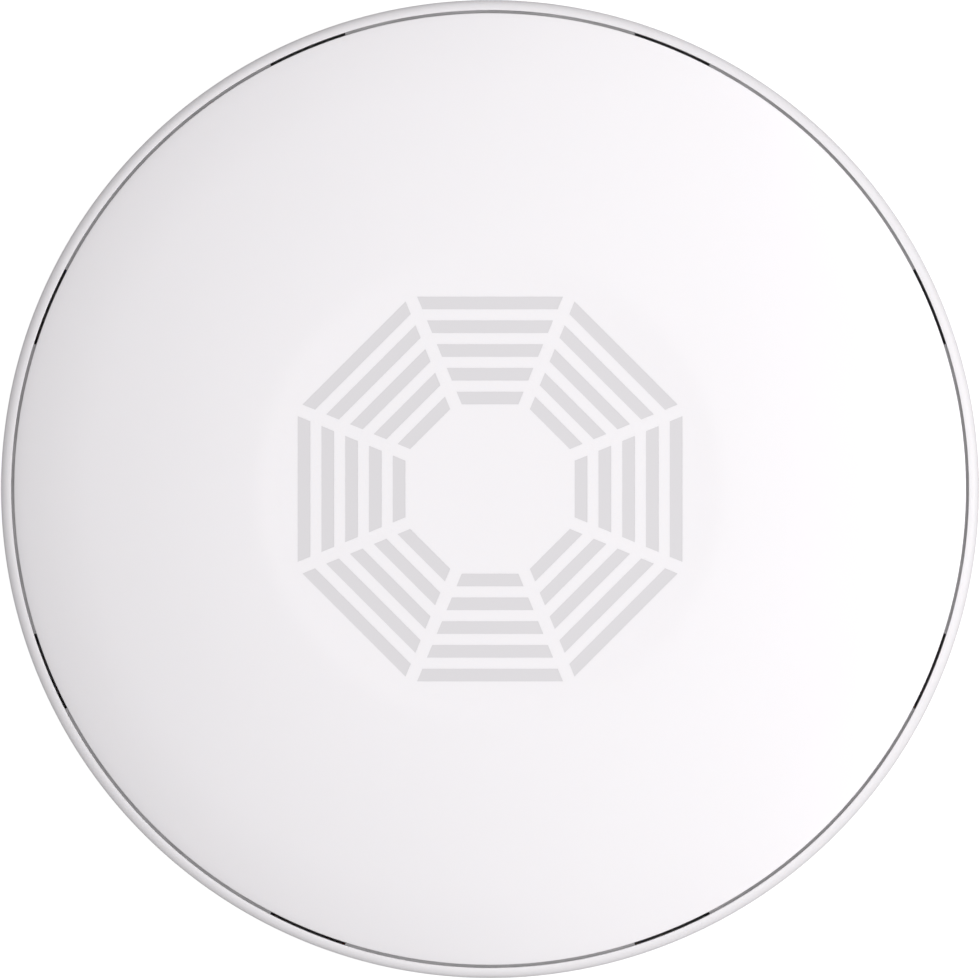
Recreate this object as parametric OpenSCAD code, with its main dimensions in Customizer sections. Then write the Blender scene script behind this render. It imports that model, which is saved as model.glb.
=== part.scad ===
// Ceiling access point: a shallow dome cover in a bowl-shaped rear housing that
// twists onto a ceiling bracket.
//
// Frame: millimetres, +Z out of the front face. The ceiling plane is z = 0 and the
// object's axis is the Z axis. +Y is the side that the cable sockets are on.

/* [Body] */
// Outer diameter across the rim of the rear housing
body_d = 220; // [205:1:270]
// Height from the ceiling to the flat centre of the front cover
body_h = 34; // [33:0.5:44]
// Wall of the rear housing
housing_wall = 2.2; // [1.8:0.02:2.8]
// Gap between the ceiling and the back face of the rear housing
ceiling_gap = 1.2; // [0.8:0.1:1.6]
// Width of the rounded rim that frames the front cover
lip_w = 2.35; // [2:0.05:4]

/* [Front cover] */
// Wall of the front cover
cover_wall = 2.2; // [1.6:0.1:2.8]
// Width of the shadow gap between the cover and the rim
shadow_gap = 0.65; // [0.4:0.05:1.2]
// Depth of the shadow gap, which is the height of the cover's outer edge
gap_depth = 1.6; // [1.2:0.1:2.2]
// Radius of the flat centre of the cover
flat_r = 50.5; // [46:0.5:54]
// Width of the soft crease round the flat centre
crease_w = 3.5; // [2:0.5:6]
// Width of the outer band where the dome turns down faster
edge_band = 17; // [12:1:24]
// Slope of the dome just outside the crease, in degrees
shoulder_slope = 3.4; // [2:0.1:5]
// Slope of the dome where the outer band starts, in degrees
band_slope = 9; // [7:0.5:11]
// Slope of the dome at the cover's edge, in degrees
edge_slope = 16; // [13:0.5:18]

/* [Vents] */
// Number of vent slots in the shadow gap
vent_count = 8; // [4:1:12]
// Length of each vent slot, in degrees of arc
vent_arc = 9.7; // [5:0.1:14]
// Width of the slots in the back face
back_slot_w = 2.2; // [1.5:0.1:3]

/* [Striped ring] */
// Outer radius of the ring of stripes
stripe_ring_r = 46.7; // [40:0.1:47]
// Radius of the clear middle of the ring
stripe_clear_r = 19; // [16:0.5:24]
// Width of one stripe, and of the gap between two sectors
stripe_w = 2.82; // [2:0.02:3.4]
// Depth of the stripe inlays
stripe_depth = 0.4; // [0.2:0.1:0.8]
// Diameter of the light guide behind the centre of the cover
lens_d = 7; // [5:0.5:10]

/* [Ceiling bracket] */
// Outer diameter of the bracket
bracket_d = 120; // [116:1:124]
// Height of the bracket
bracket_h = 5.4; // [4.8:0.1:6]
// Wall of the bracket
bracket_wall = 2.2; // [1.8:0.1:2.6]
// Diameter of the cable hole in the bracket
cable_hole_d = 70; // [60:1:72]
// Angle that the access point turns to lock or release
twist_angle = 20; // [16:1:24]
// Diameter of the circle of ceiling screws
ceiling_pcd = 95; // [92:1:98]
// Diameter of the holes for the ceiling screws
ceiling_hole_d = 4.6; // [4:0.1:5.2]

/* [Mounting studs] */
// Radius of the circle of studs
stud_circle_r = 50; // [48:0.5:51]
// Diameter of a stud's shank
stud_d = 5; // [4:0.1:5.6]
// Diameter of a stud's head
stud_head_d = 10; // [8:0.5:11]

/* [Lock slider] */
// Travel of the lock slider
lock_travel = 5; // [4:0.5:6]
// Width of the lock slider's bolt
bolt_w = 5; // [4:0.5:6]

/* [Circuit board] */
// Thickness of the circuit board
board_t = 1.6; // [1:0.1:2]
// Height of the space between the housing floor and the board
board_clear = 14; // [13.9:0.1:16.8]
// Width of the ring that carries the antennas
antenna_ring_w = 14.5; // [12:0.5:18]

/* [Sockets] */
// Width of the network socket
jack_w = 16; // [15:0.5:17]
// Height of the network socket
jack_h = 13.5; // [12:0.1:13.6]
// Length of the network socket
jack_l = 21; // [17.5:0.5:23]
// Diameter of the power socket's bore
dc_bore_d = 6.4; // [5.5:0.1:6.8]
// Travel of the reset button
reset_travel = 0.4; // [0.2:0.1:0.6]

/* [Hidden] */

$fn = 96;
arc_fn = 256;
cut = 1;
fit_gap = 0.3;
white = "white";
quarter = [0, 90, 180, 270];

// Cover: radii and heights of its surface, from the flat centre outwards
body_r = body_d / 2;
cover_r = body_r - lip_w - shadow_gap;
crease_r = flat_r + crease_w;
band_r = cover_r - edge_band;
crease_arc_r = crease_w / sin(shoulder_slope);
shoulder_arc_r = (band_r - crease_r) / (sin(band_slope) - sin(shoulder_slope));
edge_arc_r = edge_band / (sin(edge_slope) - sin(band_slope));
crease_z = body_h - crease_arc_r * (1 - cos(shoulder_slope));
band_z = crease_z - shoulder_arc_r * (cos(shoulder_slope) - cos(band_slope));
cover_edge_z = band_z - edge_arc_r * (cos(band_slope) - cos(edge_slope));
skirt_t = 1.7;
skirt_r = cover_r - 2.1;
skirt_drop = 4.5;
hook_w = 8;
hook_reach = 0.9;
hook_inset = 0.2;
glow_wall = 0.9;
guide_flange_t = 1;

// Rear housing: its rim, its bowl and the ledge under the cover's edge
lip_z = cover_edge_z;
equator_z = lip_z - lip_w;
bowl_r = equator_z - ceiling_gap;
back_r = body_r - bowl_r;
lip_inner_r = body_r - lip_w;
ledge_z = lip_z - gap_depth;
ledge_t = 1.4;
vent_inset = 0.2;
ledge_r = skirt_r + fit_gap;

// Recess for the bracket in the back of the housing
recess_r = bracket_d / 2 + 1.5;
recess_z = bracket_h + 0.8;
floor_t = 2;
back_slot_angles = [22.5, 67.5, 202.5, 247.5, 292.5, 337.5];
floor_z = recess_z + floor_t;
annulus_floor_z = ceiling_gap + housing_wall;

// Bracket
plate_z = bracket_h - bracket_wall;
rim_t = 2.5;
lug_w = 8;
lug_r = bracket_d / 2 + 6.5;
lug_angle = 118;
ceiling_screw_angle = 45;
ceiling_head_d = 9;
ceiling_head_depth = 2.8;
keyhole_gap = 0.8;

// Studs: a shank through the bracket's plate and a head behind it
stud_head_t = 1.4;
stud_head_z = plate_z - 0.2 - stud_head_t;
stud_boss_d = 9;
stud_boss_z = floor_z + 4;
stud_thread_d = 3;

// Lock slider: it runs in a channel in the back face, along its own radius
pocket_r = lug_r + 1.5;
pocket_play = 0.5;
bolt_play = 1;
pocket_z = recess_z - 0.2;
bolt_in_r = pocket_r - lock_travel;
half_lug_angle = asin(lug_w / 2 / bolt_in_r);
slider_angle = lug_angle - half_lug_angle - asin((bolt_w / 2 + bolt_play) / bolt_in_r);
slider_r = pocket_r + fit_gap;
slider_l = 29;
slider_bolt_l = lock_travel + 2;
slider_tail_l = 8;
slider_w = 10;
slider_t = 1.4;
slider_rib_w = 6.4;
slider_z = ceiling_gap + 0.2;
slider_rib_t = 1.6;
channel_z = slider_z + slider_rib_t + slider_t + fit_gap;
channel_cover_t = 1.8;

// Board and what carries it
board_z = floor_z + board_clear;
board_top = board_z + board_t;
led_top = board_top + 1.2;
antenna_ring_r = cover_r - 7.5;
boss_zone = 11;
board_r = antenna_ring_r - antenna_ring_w - boss_zone;
board_post_r = board_r - 6;
board_post_d = 6.4;
m3_core_d = 2.5;
m3_d = 3;
m3_head_d = 5.6;
m3_head_t = 1.9;
board_screw_l = 8;
cover_boss_r = board_r + 5.8;
cover_boss_d = 7;
cover_boss_z = 14;
cover_screw_l = 16;
cover_head_z = ceiling_gap + 3.4;

// Port well: the recess that the plugs go into, from the back
well_w = 62;
well_y0 = -28;
well_y1 = 16;
well_wall = 1.6;
well_top_z = board_z - 0.4 - well_wall;

// Sockets, all facing -Y in the well's +Y wall
jack_x = -12;
jack_z = board_z - jack_h;
jack_shell_t = 0.3;
jack_mouth_w = 11.8;
jack_mouth_h = 6.9;
jack_key_w = 6.2;
jack_key_h = 1.9;
jack_mouth_z = jack_z + 3.2;
jack_mouth_l = 13;
dc_x = 9;
dc_w = 9;
dc_l = 14.4;
dc_h = 11;
dc_axis_z = board_z - 4.9;
dc_depth = 10;
dc_pin_d = 2.1;
reset_x = 22;
reset_d = 3;
reset_axis_z = board_z - 3;
reset_set_back = 0.5;
reset_flange_y = well_y1 + well_wall + fit_gap;
reset_flange_t = 0.8;
reset_switch_y = reset_flange_y + reset_flange_t + reset_travel + fit_gap;
reset_switch_l = 3.5;
reset_bore_l = 2.2;
reset_plunger_d = 1.8;

// Heat: plate, pedestals and chips under the board
heatsink_t = 2;
heatsink_r = board_post_r - board_post_d / 2 - 1.2;
processor_pos = [30, -41];
processor_w = 18;
radio_w = 12;
radio_positions = [[-36, -40], [-50, 20]];
chip_t = 1.4;
pad_t = 1;
pedestal_z = board_z - chip_t - pad_t;
rib_t = 1.6;
rib_h = 5;
// Rows of fins: places along X, the row's centre along Y, and a fin's length
fin_rows = [[[-24 : 8 : 16], -39, 11], [[40 : 6 : 52], 19, 20]];
heat_post_d = 6;
heat_post_positions = [[54, -22], [16, -56], [-54, -22], [-16, -56], [-38, 46], [38, 46]];
heat_screw_l = 6;
heat_window_w = 68;
heat_window_y0 = -31;
heat_window_y1 = 43;

// Rest of the circuit under the board: places and sizes
memory_w = 8;
memory_l = 12;
memory_h = 1.1;
memory_offset = 6;
line_transformer_size = [16, 12, 6.5];
power_transformer_size = [14, 16, 10];
transformer_gap = 2;
capacitor_positions = [[29, 25], [29, 35], [-27, 28]];
capacitor_d = 8;
capacitor_h = 10;
coil_positions = [[40, 35], [-28, 41]];
coil_w = 7;
coil_h = 4;
led_w = 3;
switch_w = 6;

// Shield cans on the front of the board: position and side
can_boxes = [[processor_pos, 24], [radio_positions[0], 24], [radio_positions[1], 22]];
can_h = 3.2;
can_wall = 0.3;

// Sectors of the striped ring
stripe_sectors = 8;

// Antennas: they stand on a ring, a set distance below the cover's underside
antenna_count = 8;
antenna_turn = 360 / antenna_count;
low_band_arc = 26;
high_band_arc = 15;
element_t = 0.4;
element_h = 3;
element_clear = 3;
foot_reach = 3;
tab_reach = 0.8;
tab_w = 2.4;
tab_h = 4.3;
ring_t = 1.6;
ring_mid_r = antenna_ring_r - antenna_ring_w / 2;
foot_z = dome_z(ring_mid_r) - cover_wall - element_clear - element_h;
ring_z = foot_z - ring_t;
ring_post_d = 5;
ring_post_z = bowl_z(ring_mid_r + ring_post_d / 2) + 0.5;
ring_stake_d = 2.4;
ring_stake_rise = 0.6;

// Leads: from plugs on the board out to the antennas' tabs
lead_d = 1.2;
lead_plug_r = board_r - 4;
lead_plug_d = 3;
lead_plug_h = 1.7;
lead_crimp_w = 1.8;
lead_crimp_l = 2.5;
lead_start_r = lead_plug_r + lead_crimp_l;
lead_start_z = board_top + lead_plug_h / 2;
lead_end_z = foot_z + tab_h - 1;

// Blank label on the back
label_w = 30;
label_t = 0.15;

// ---- Shapes that repeat ----

// The cover's surface as a filled section in the XZ half plane, down to z0
module dome_section(z0, r_end = cover_r) {
    translate([0, z0]) square([flat_r, body_h - z0]);
    intersection() {
        translate([flat_r, z0]) square([crease_w, body_h - z0]);
        translate([flat_r, body_h - crease_arc_r]) circle(crease_arc_r, $fn = arc_fn);
    }
    intersection() {
        translate([crease_r, z0]) square([band_r - crease_r, body_h - z0]);
        translate([crease_r - shoulder_arc_r * sin(shoulder_slope),
                   crease_z - shoulder_arc_r * cos(shoulder_slope)])
            circle(shoulder_arc_r, $fn = arc_fn);
    }
    intersection() {
        translate([band_r, z0]) square([r_end - band_r, body_h - z0]);
        translate([band_r - edge_arc_r * sin(band_slope),
                   band_z - edge_arc_r * cos(band_slope)])
            circle(edge_arc_r, $fn = arc_fn);
    }
}

// Height of the cover's outer surface at radius r
function dome_z(r) =
    r <= flat_r ? body_h :
    r <= crease_r ? body_h - crease_arc_r
        + sqrt(pow(crease_arc_r, 2) - pow(r - flat_r, 2)) :
    r <= band_r ? crease_z - shoulder_arc_r * cos(shoulder_slope)
        + sqrt(pow(shoulder_arc_r, 2)
               - pow(r - crease_r + shoulder_arc_r * sin(shoulder_slope), 2)) :
    band_z - edge_arc_r * cos(band_slope)
        + sqrt(pow(edge_arc_r, 2) - pow(r - band_r + edge_arc_r * sin(band_slope), 2));

// A ring about the Z axis
module ring(r_out, r_in, z0, z1) {
    translate([0, 0, z0]) difference() {
        cylinder(r = r_out, h = z1 - z0);
        translate([0, 0, -cut]) cylinder(r = r_in, h = z1 - z0 + 2 * cut);
    }
}

// Part of a ring, from angle a0 to a1
module ring_sector(r_out, r_in, z0, z1, a0, a1) {
    translate([0, 0, z0]) rotate([0, 0, a0])
        rotate_extrude(angle = a1 - a0)
            translate([r_in, 0]) square([r_out - r_in, z1 - z0]);
}

// A box centred on X and Y at a position, from z0 to z1
module block(pos, w, l, z0, z1) {
    translate([pos[0] - w / 2, pos[1] - l / 2, z0]) cube([w, l, z1 - z0]);
}

// A box on the radius at an angle, from r0 to r1
module radial_block(angle, r0, r1, w, z0, z1) {
    rotate([0, 0, angle]) translate([r0, -w / 2, z0]) cube([r1 - r0, w, z1 - z0]);
}

// A pan-head screw with its head's seat at z = 0 and its shank along -Z
module pan_screw(length) {
    difference() {
        union() {
            cylinder(d = m3_head_d, h = m3_head_t);
            translate([0, 0, -length]) cylinder(d = m3_core_d, h = length);
        }
        for (a = [0, 90]) rotate([0, 0, a])
            translate([-1.6, -0.4, m3_head_t - 1.1]) cube([3.2, 0.8, 1.1 + cut]);
    }
}

// Places a child at each quarter turn on a circle
module at_quarters(r, turn = 0) {
    for (a = quarter) rotate([0, 0, a + turn]) translate([r, 0, 0]) children();
}

// Half the length of a stripe's side that lies at distance x from the axis
function bar_half(x) = x * tan(180 / stripe_sectors) - stripe_w / 2 / cos(180 / stripe_sectors);

// The stripes of the ring, from z0 to z1: sectors of straight bars across each sector's middle
module stripes(z0, z1) {
    half = 180 / stripe_sectors;
    reach = stripe_ring_r * cos(half);
    bars = round((reach - stripe_clear_r + stripe_w) / (2 * stripe_w));
    step = (reach - stripe_clear_r - stripe_w) / (bars - 1);
    for (k = [0 : stripe_sectors - 1]) rotate([0, 0, 2 * half * k])
        for (i = [0 : bars - 1])
            let (x0 = stripe_clear_r + i * step, x1 = x0 + stripe_w, y0 = bar_half(x0), y1 = bar_half(x1))
                translate([0, 0, z0]) linear_extrude(z1 - z0)
                    polygon([[x0, -y0], [x1, -y1], [x1, y1], [x0, y0]]);
}

// ---- Ceiling bracket ----

module keyhole() {
    slot_w = stud_d + keyhole_gap;
    ring_sector(stud_circle_r + slot_w / 2, stud_circle_r - slot_w / 2,
                plate_z - cut, bracket_h + cut, 0, twist_angle);
    translate([stud_circle_r, 0, plate_z - cut])
        cylinder(d = slot_w, h = bracket_wall + 2 * cut);
    rotate([0, 0, twist_angle]) translate([stud_circle_r, 0, plate_z - cut])
        cylinder(d = stud_head_d + keyhole_gap, h = bracket_wall + 2 * cut);
}

module ceiling_bracket() {
    color("gainsboro") difference() {
        union() {
            ring(bracket_d / 2, cable_hole_d / 2, plate_z, bracket_h);
            ring(bracket_d / 2, bracket_d / 2 - rim_t, 0, bracket_h);
            ring(cable_hole_d / 2 + bracket_wall, cable_hole_d / 2, 0, bracket_h);
            at_quarters(ceiling_pcd / 2, ceiling_screw_angle)
                cylinder(d = ceiling_head_d + 3, h = bracket_h);
            radial_block(lug_angle, bracket_d / 2 - rim_t, lug_r, lug_w, 0, bracket_h);
        }
        for (a = quarter) rotate([0, 0, a]) keyhole();
        at_quarters(ceiling_pcd / 2, ceiling_screw_angle) {
            translate([0, 0, -cut]) cylinder(d = ceiling_hole_d, h = bracket_h + 2 * cut);
            translate([0, 0, bracket_h - ceiling_head_depth])
                cylinder(d = ceiling_head_d, h = ceiling_head_depth + cut);
        }
    }
}

// Shoulder studs: threaded end in the housing, shank through the bracket, head behind it
module mounting_studs() {
    color("silver") at_quarters(stud_circle_r) difference() {
        union() {
            translate([0, 0, stud_head_z]) cylinder(d = stud_head_d, h = stud_head_t);
            translate([0, 0, stud_head_z]) cylinder(d = stud_d, h = recess_z - stud_head_z);
            translate([0, 0, recess_z]) cylinder(d = stud_thread_d, h = stud_boss_z - recess_z - 1);
        }
        for (a = [0, 90]) rotate([0, 0, a])
            translate([-2, -0.45, stud_head_z - cut]) cube([4, 0.9, cut + 0.9]);
    }
}

// ---- Rear housing ----

// The filled outer shape of the bowl, below its rim
module bowl_outline() {
    translate([0, ceiling_gap]) square([back_r, equator_z - ceiling_gap]);
    intersection() {
        translate([back_r, ceiling_gap]) square([bowl_r, bowl_r]);
        translate([back_r, equator_z]) circle(bowl_r, $fn = arc_fn);
    }
}

// Height of the bowl's outer surface at radius r
function bowl_z(r) = equator_z - sqrt(pow(bowl_r, 2) - pow(r - back_r, 2));

module housing_section() {
    difference() {
        union() {
            bowl_outline();
            intersection() {
                translate([lip_inner_r, equator_z]) square([lip_w, lip_w]);
                translate([lip_inner_r, equator_z]) circle(lip_w);
            }
        }
        // Inside of the bowl, over the low outer floor
        translate([recess_r + housing_wall, annulus_floor_z])
            square([back_r - recess_r - housing_wall, bowl_r + cut]);
        intersection() {
            translate([back_r - cut, annulus_floor_z]) square([bowl_r, bowl_r]);
            union() {
                translate([back_r, equator_z])
                    circle(bowl_r - housing_wall, $fn = arc_fn);
                translate([back_r - cut, annulus_floor_z]) square([cut, bowl_r]);
            }
        }
        // Inside, over the raised floor of the bracket's recess
        translate([-cut, floor_z]) square([recess_r + housing_wall + 2 * cut, bowl_r]);
        // The recess itself
        translate([-cut, 0]) square([recess_r + cut, recess_z]);
    }
    translate([ledge_r, ledge_z - ledge_t])
        square([body_r - housing_wall / 2 - ledge_r, ledge_t]);
}

// What stands up inside the housing: posts, bosses and the walls of the port well
module housing_posts() {
    at_quarters(board_post_r) translate([0, 0, annulus_floor_z - cut])
        cylinder(d = board_post_d, h = board_z - annulus_floor_z + cut);
    at_quarters(stud_circle_r) translate([0, 0, recess_z + cut])
        cylinder(d = stud_boss_d, h = stud_boss_z - recess_z - cut);
    at_quarters(cover_boss_r, 45) translate([0, 0, ceiling_gap])
        cylinder(d = cover_boss_d + 2, h = cover_boss_z - ceiling_gap);
    // Posts of the antenna ring, with stakes through it
    for (i = [0 : antenna_count - 1]) rotate([0, 0, i * antenna_turn])
        translate([ring_mid_r, 0, ring_post_z]) {
            cylinder(d = ring_post_d, h = ring_z - ring_post_z);
            cylinder(d = ring_stake_d, h = foot_z + ring_stake_rise - ring_post_z);
        }
    block([0, (well_y0 + well_y1) / 2], well_w + 2 * well_wall,
          well_y1 - well_y0 + 2 * well_wall, recess_z, well_top_z + well_wall);
    intersection() {
        radial_block(slider_angle, pocket_r, back_r + 4, slider_w + 2 * channel_cover_t,
                     ceiling_gap, channel_z + channel_cover_t);
        rotate_extrude() bowl_outline();
    }
    // Wall round the pocket of the bracket's lug
    ring_sector(pocket_r + housing_wall, recess_r + housing_wall / 2, ceiling_gap,
                pocket_z + channel_cover_t,
                lug_angle - twist_angle - 2 * half_lug_angle, lug_angle + 2 * half_lug_angle);
}

// The channel of the lock slider: wide inside, narrow at the back face
module slider_channel() {
    wide_r = slider_r + slider_bolt_l - lock_travel - fit_gap;
    radial_block(slider_angle, pocket_r - cut, body_r, slider_rib_w + 2 * fit_gap,
                 0, slider_z + slider_rib_t + fit_gap);
    radial_block(slider_angle, pocket_r - cut, wide_r + cut, bolt_w + 2 * fit_gap,
                 0, channel_z);
    radial_block(slider_angle, wide_r, slider_r + slider_l - slider_tail_l + fit_gap,
                 slider_w + 2 * fit_gap, slider_z + slider_rib_t - fit_gap, channel_z);
}

// Groups of slots between the posts, apart from where the slider and the label are
module back_slots() {
    slots = 7;
    step = 2.8;
    for (a = back_slot_angles)
        for (i = [0 : slots - 1])
            radial_block(a + (i - (slots - 1) / 2) * step, recess_r + housing_wall + 5,
                         back_r - 1, back_slot_w, ceiling_gap - cut, annulus_floor_z + cut);
}

// Window in the port well's wall and roof edge that a socket stands in
module socket_window(x, w, z0) {
    translate([x - w / 2 - fit_gap, well_y1 - fit_gap, z0 - fit_gap])
        cube([w + 2 * fit_gap, fit_gap + well_wall + cut, well_top_z + well_wall + cut - z0]);
}

module housing_cuts() {
    // Port well, with its sockets' windows
    block([0, (well_y0 + well_y1) / 2], well_w, well_y1 - well_y0, 0, well_top_z);
    socket_window(jack_x, jack_w, jack_z);
    socket_window(dc_x, dc_w, board_z - dc_h);
    translate([reset_x, well_y1 - cut, reset_axis_z]) rotate([-90, 0, 0])
        cylinder(d = reset_d + 2 * fit_gap, h = well_wall + 2 * cut);
    // Pocket that the bracket's lug turns in
    ring_sector(pocket_r, recess_r - cut, 0, pocket_z,
                lug_angle - twist_angle - half_lug_angle - pocket_play,
                lug_angle + half_lug_angle + pocket_play);
    slider_channel();
    back_slots();
    // Threads of the studs and of the board screws
    at_quarters(stud_circle_r) translate([0, 0, recess_z - cut])
        cylinder(d = stud_thread_d, h = stud_boss_z - recess_z);
    at_quarters(board_post_r) translate([0, 0, board_z - board_screw_l])
        cylinder(d = m3_core_d, h = board_screw_l + cut);
    // Cover screws: clearance hole and a counterbore from the back
    at_quarters(cover_boss_r, 45) {
        translate([0, 0, -cut]) cylinder(d = m3_head_d + 1, h = cover_head_z + cut);
        translate([0, 0, cover_head_z]) cylinder(d = m3_d + 0.4, h = cover_boss_z);
    }
    // Vent slots through the ledge under the shadow gap
    for (i = [0 : vent_count - 1]) let (a = (i + 0.5) * 360 / vent_count)
        ring_sector(lip_inner_r - vent_inset, ledge_r - cut, ledge_z - ledge_t - cut, ledge_z + cut,
                    a - vent_arc / 2, a + vent_arc / 2);
}

module rear_housing() {
    color(white) difference() {
        union() {
            rotate_extrude() housing_section();
            housing_posts();
        }
        housing_cuts();
    }
}

// ---- Front cover ----

// A snap hook's section: a tongue down from the centring ring with a barb under the ledge
module hook_section() {
    barb_z = ledge_z - ledge_t - fit_gap;
    inner_r = skirt_r - skirt_t + hook_inset;
    outer_r = skirt_r - hook_inset;
    polygon([
        [inner_r, barb_z + 2 * fit_gap], [outer_r, barb_z + 2 * fit_gap], [outer_r, barb_z],
        [ledge_r + hook_reach, barb_z], [outer_r, ledge_z - skirt_drop],
        [inner_r, ledge_z - skirt_drop]
    ]);
}

module cover_section() {
    difference() {
        dome_section(ledge_z);
        intersection() {
            translate([0, -cover_wall]) dome_section(0);
            square([skirt_r - skirt_t, body_h]);
        }
    }
    // Ring that centres the cover inside the ledge
    translate([skirt_r - skirt_t, ledge_z - ledge_t]) square([skirt_t, ledge_t]);
}

module front_cover() {
    hook_angle = 2 * asin(hook_w / 2 / skirt_r);
    boss_top = dome_z(cover_boss_r + cover_boss_d / 2) - cover_wall / 2;
    color(white) difference() {
        union() {
            rotate_extrude() cover_section();
            for (i = [0 : vent_count - 1])
                rotate([0, 0, i * 360 / vent_count - hook_angle / 2])
                    rotate_extrude(angle = hook_angle) hook_section();
            at_quarters(cover_boss_r, 45) translate([0, 0, cover_boss_z])
                cylinder(d = cover_boss_d, h = boss_top - cover_boss_z);
        }
        stripes(body_h - stripe_depth, body_h + cut);
        translate([0, 0, body_h - cover_wall - cut])
            cylinder(d = lens_d, h = cover_wall - glow_wall + cut);
        at_quarters(cover_boss_r, 45) translate([0, 0, cover_boss_z - cut])
            cylinder(d = m3_core_d, h = cover_head_z + cover_screw_l - cover_boss_z + cut);
    }
}

module stripe_inlays() {
    color("lightgray") stripes(body_h - stripe_depth, body_h);
}

// Clear plug that carries the status light up to the thin wall at the cover's centre
module light_guide() {
    color("azure") union() {
        translate([0, 0, led_top + fit_gap])
            cylinder(d = lens_d - 1, h = body_h - cover_wall - led_top - fit_gap);
        translate([0, 0, body_h - cover_wall - guide_flange_t])
            cylinder(d = lens_d + 4, h = guide_flange_t);
        translate([0, 0, body_h - cover_wall])
            cylinder(d = lens_d, h = cover_wall - glow_wall);
    }
}

// Foam ring between the board and the light guide's flange
module light_gasket() {
    color("dimgray")
        ring(lens_d / 2 + 2, lens_d / 2, board_top, body_h - cover_wall - guide_flange_t);
}

// ---- Lock slider ----

module lock_slider() {
    end_r = slider_r + slider_l;
    color("darkgray") union() {
        radial_block(slider_angle, slider_r, slider_r + slider_bolt_l, bolt_w,
                     slider_z, slider_z + slider_rib_t + slider_t);
        radial_block(slider_angle, slider_r + slider_bolt_l, end_r, slider_rib_w,
                     slider_z, slider_z + slider_rib_t);
        radial_block(slider_angle, slider_r + slider_bolt_l, end_r - slider_tail_l, slider_w,
                     slider_z + slider_rib_t, slider_z + slider_rib_t + slider_t);
        for (i = [0 : 2])
            radial_block(slider_angle, end_r - 2 - 2 * i, end_r - 1 - 2 * i, slider_rib_w,
                         slider_z - 0.5, slider_z);
    }
}

// ---- Heat plate and the board's screws ----

module at_positions(positions) {
    for (p = positions) translate([p[0], p[1], 0]) children();
}

module heatsink() {
    plate_top = floor_z + heatsink_t;
    color("silver") difference() {
        union() {
            translate([0, 0, floor_z]) cylinder(r = heatsink_r, h = heatsink_t);
            block(processor_pos, processor_w, processor_w, plate_top, pedestal_z);
            for (p = radio_positions) block(p, radio_w, radio_w, plate_top, pedestal_z);
            at_positions(heat_post_positions) translate([0, 0, floor_z])
                cylinder(d = heat_post_d, h = board_z - floor_z);
            for (row = fin_rows) for (x = row[0])
                block([x, row[1]], rib_t, row[2], plate_top, plate_top + rib_h);
        }
        // Window round the port well and the sockets
        block([0, (heat_window_y0 + heat_window_y1) / 2], heat_window_w,
              heat_window_y1 - heat_window_y0, floor_z - cut, plate_top + cut);
        at_quarters(stud_circle_r) translate([0, 0, floor_z - cut])
            cylinder(d = stud_boss_d + 1, h = heatsink_t + 2 * cut);
        at_positions(heat_post_positions) translate([0, 0, board_z - heat_screw_l + board_t])
            cylinder(d = m3_core_d, h = heat_screw_l);
    }
}

module thermal_pads() {
    color("lightpink") {
        block(processor_pos, processor_w - 2, processor_w - 2, pedestal_z, pedestal_z + pad_t);
        for (p = radio_positions)
            block(p, radio_w - 1, radio_w - 1, pedestal_z, pedestal_z + pad_t);
    }
}

module main_board() {
    color("darkgreen") difference() {
        translate([0, 0, board_z]) cylinder(r = board_r, h = board_t);
        at_quarters(board_post_r) translate([0, 0, board_z - cut])
            cylinder(d = m3_d + 0.2, h = board_t + 2 * cut);
        at_positions(heat_post_positions) translate([0, 0, board_z - cut])
            cylinder(d = m3_d + 0.2, h = board_t + 2 * cut);
    }
}

module board_screws() {
    color("silver") at_quarters(board_post_r) translate([0, 0, board_top])
        pan_screw(board_screw_l);
}

module heatsink_screws() {
    color("silver") at_positions(heat_post_positions) translate([0, 0, board_top])
        pan_screw(heat_screw_l);
}

// They go in from the back and draw the cover's bosses down onto the housing's
module cover_screws() {
    color("silver") at_quarters(cover_boss_r, 45) translate([0, 0, cover_head_z])
        mirror([0, 0, 1]) pan_screw(cover_screw_l);
}

// ---- Parts on the board ----

module shield_cans() {
    color("lightgray") for (can = can_boxes)
        difference() {
            block(can[0], can[1], can[1], board_top, board_top + can_h);
            block(can[0], can[1] - 2 * can_wall, can[1] - 2 * can_wall,
                  board_top - cut, board_top + can_h - can_wall);
        }
}

module radio_chips() {
    color("#303030") for (p = radio_positions)
        block(p, radio_w - 1, radio_w - 1, board_z - chip_t, board_z);
}

module processor() {
    color("#303030")
        block(processor_pos, processor_w - 2, processor_w - 2, board_z - chip_t, board_z);
}

module memory_chips() {
    color("#303030") for (side = [-1, 1])
        block([processor_pos[0] + side * memory_offset, processor_pos[1]], memory_w, memory_l,
              board_top, board_top + memory_h);
}

module line_transformer() {
    size = line_transformer_size;
    y0 = well_y1 + jack_l + 2 * transformer_gap;
    color("#303030") block([jack_x, y0 + size[1] / 2], size[0], size[1], board_z - size[2], board_z);
}

module power_transformer() {
    size = power_transformer_size;
    x = dc_x + size[0] / 2;
    y0 = well_y1 + dc_l + transformer_gap;
    color("goldenrod") block([x, y0 + size[1] / 2], size[0], size[1], board_z - size[2], board_z);
}

module capacitors() {
    color("slategray") at_positions(capacitor_positions) translate([0, 0, board_z - capacitor_h])
        cylinder(d = capacitor_d, h = capacitor_h);
}

module power_coils() {
    color("dimgray") for (p = coil_positions) block(p, coil_w, coil_w, board_z - coil_h, board_z);
}

module status_led() {
    color("lightyellow") block([0, 0], led_w, led_w, board_top, led_top);
}

// ---- Sockets ----

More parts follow.
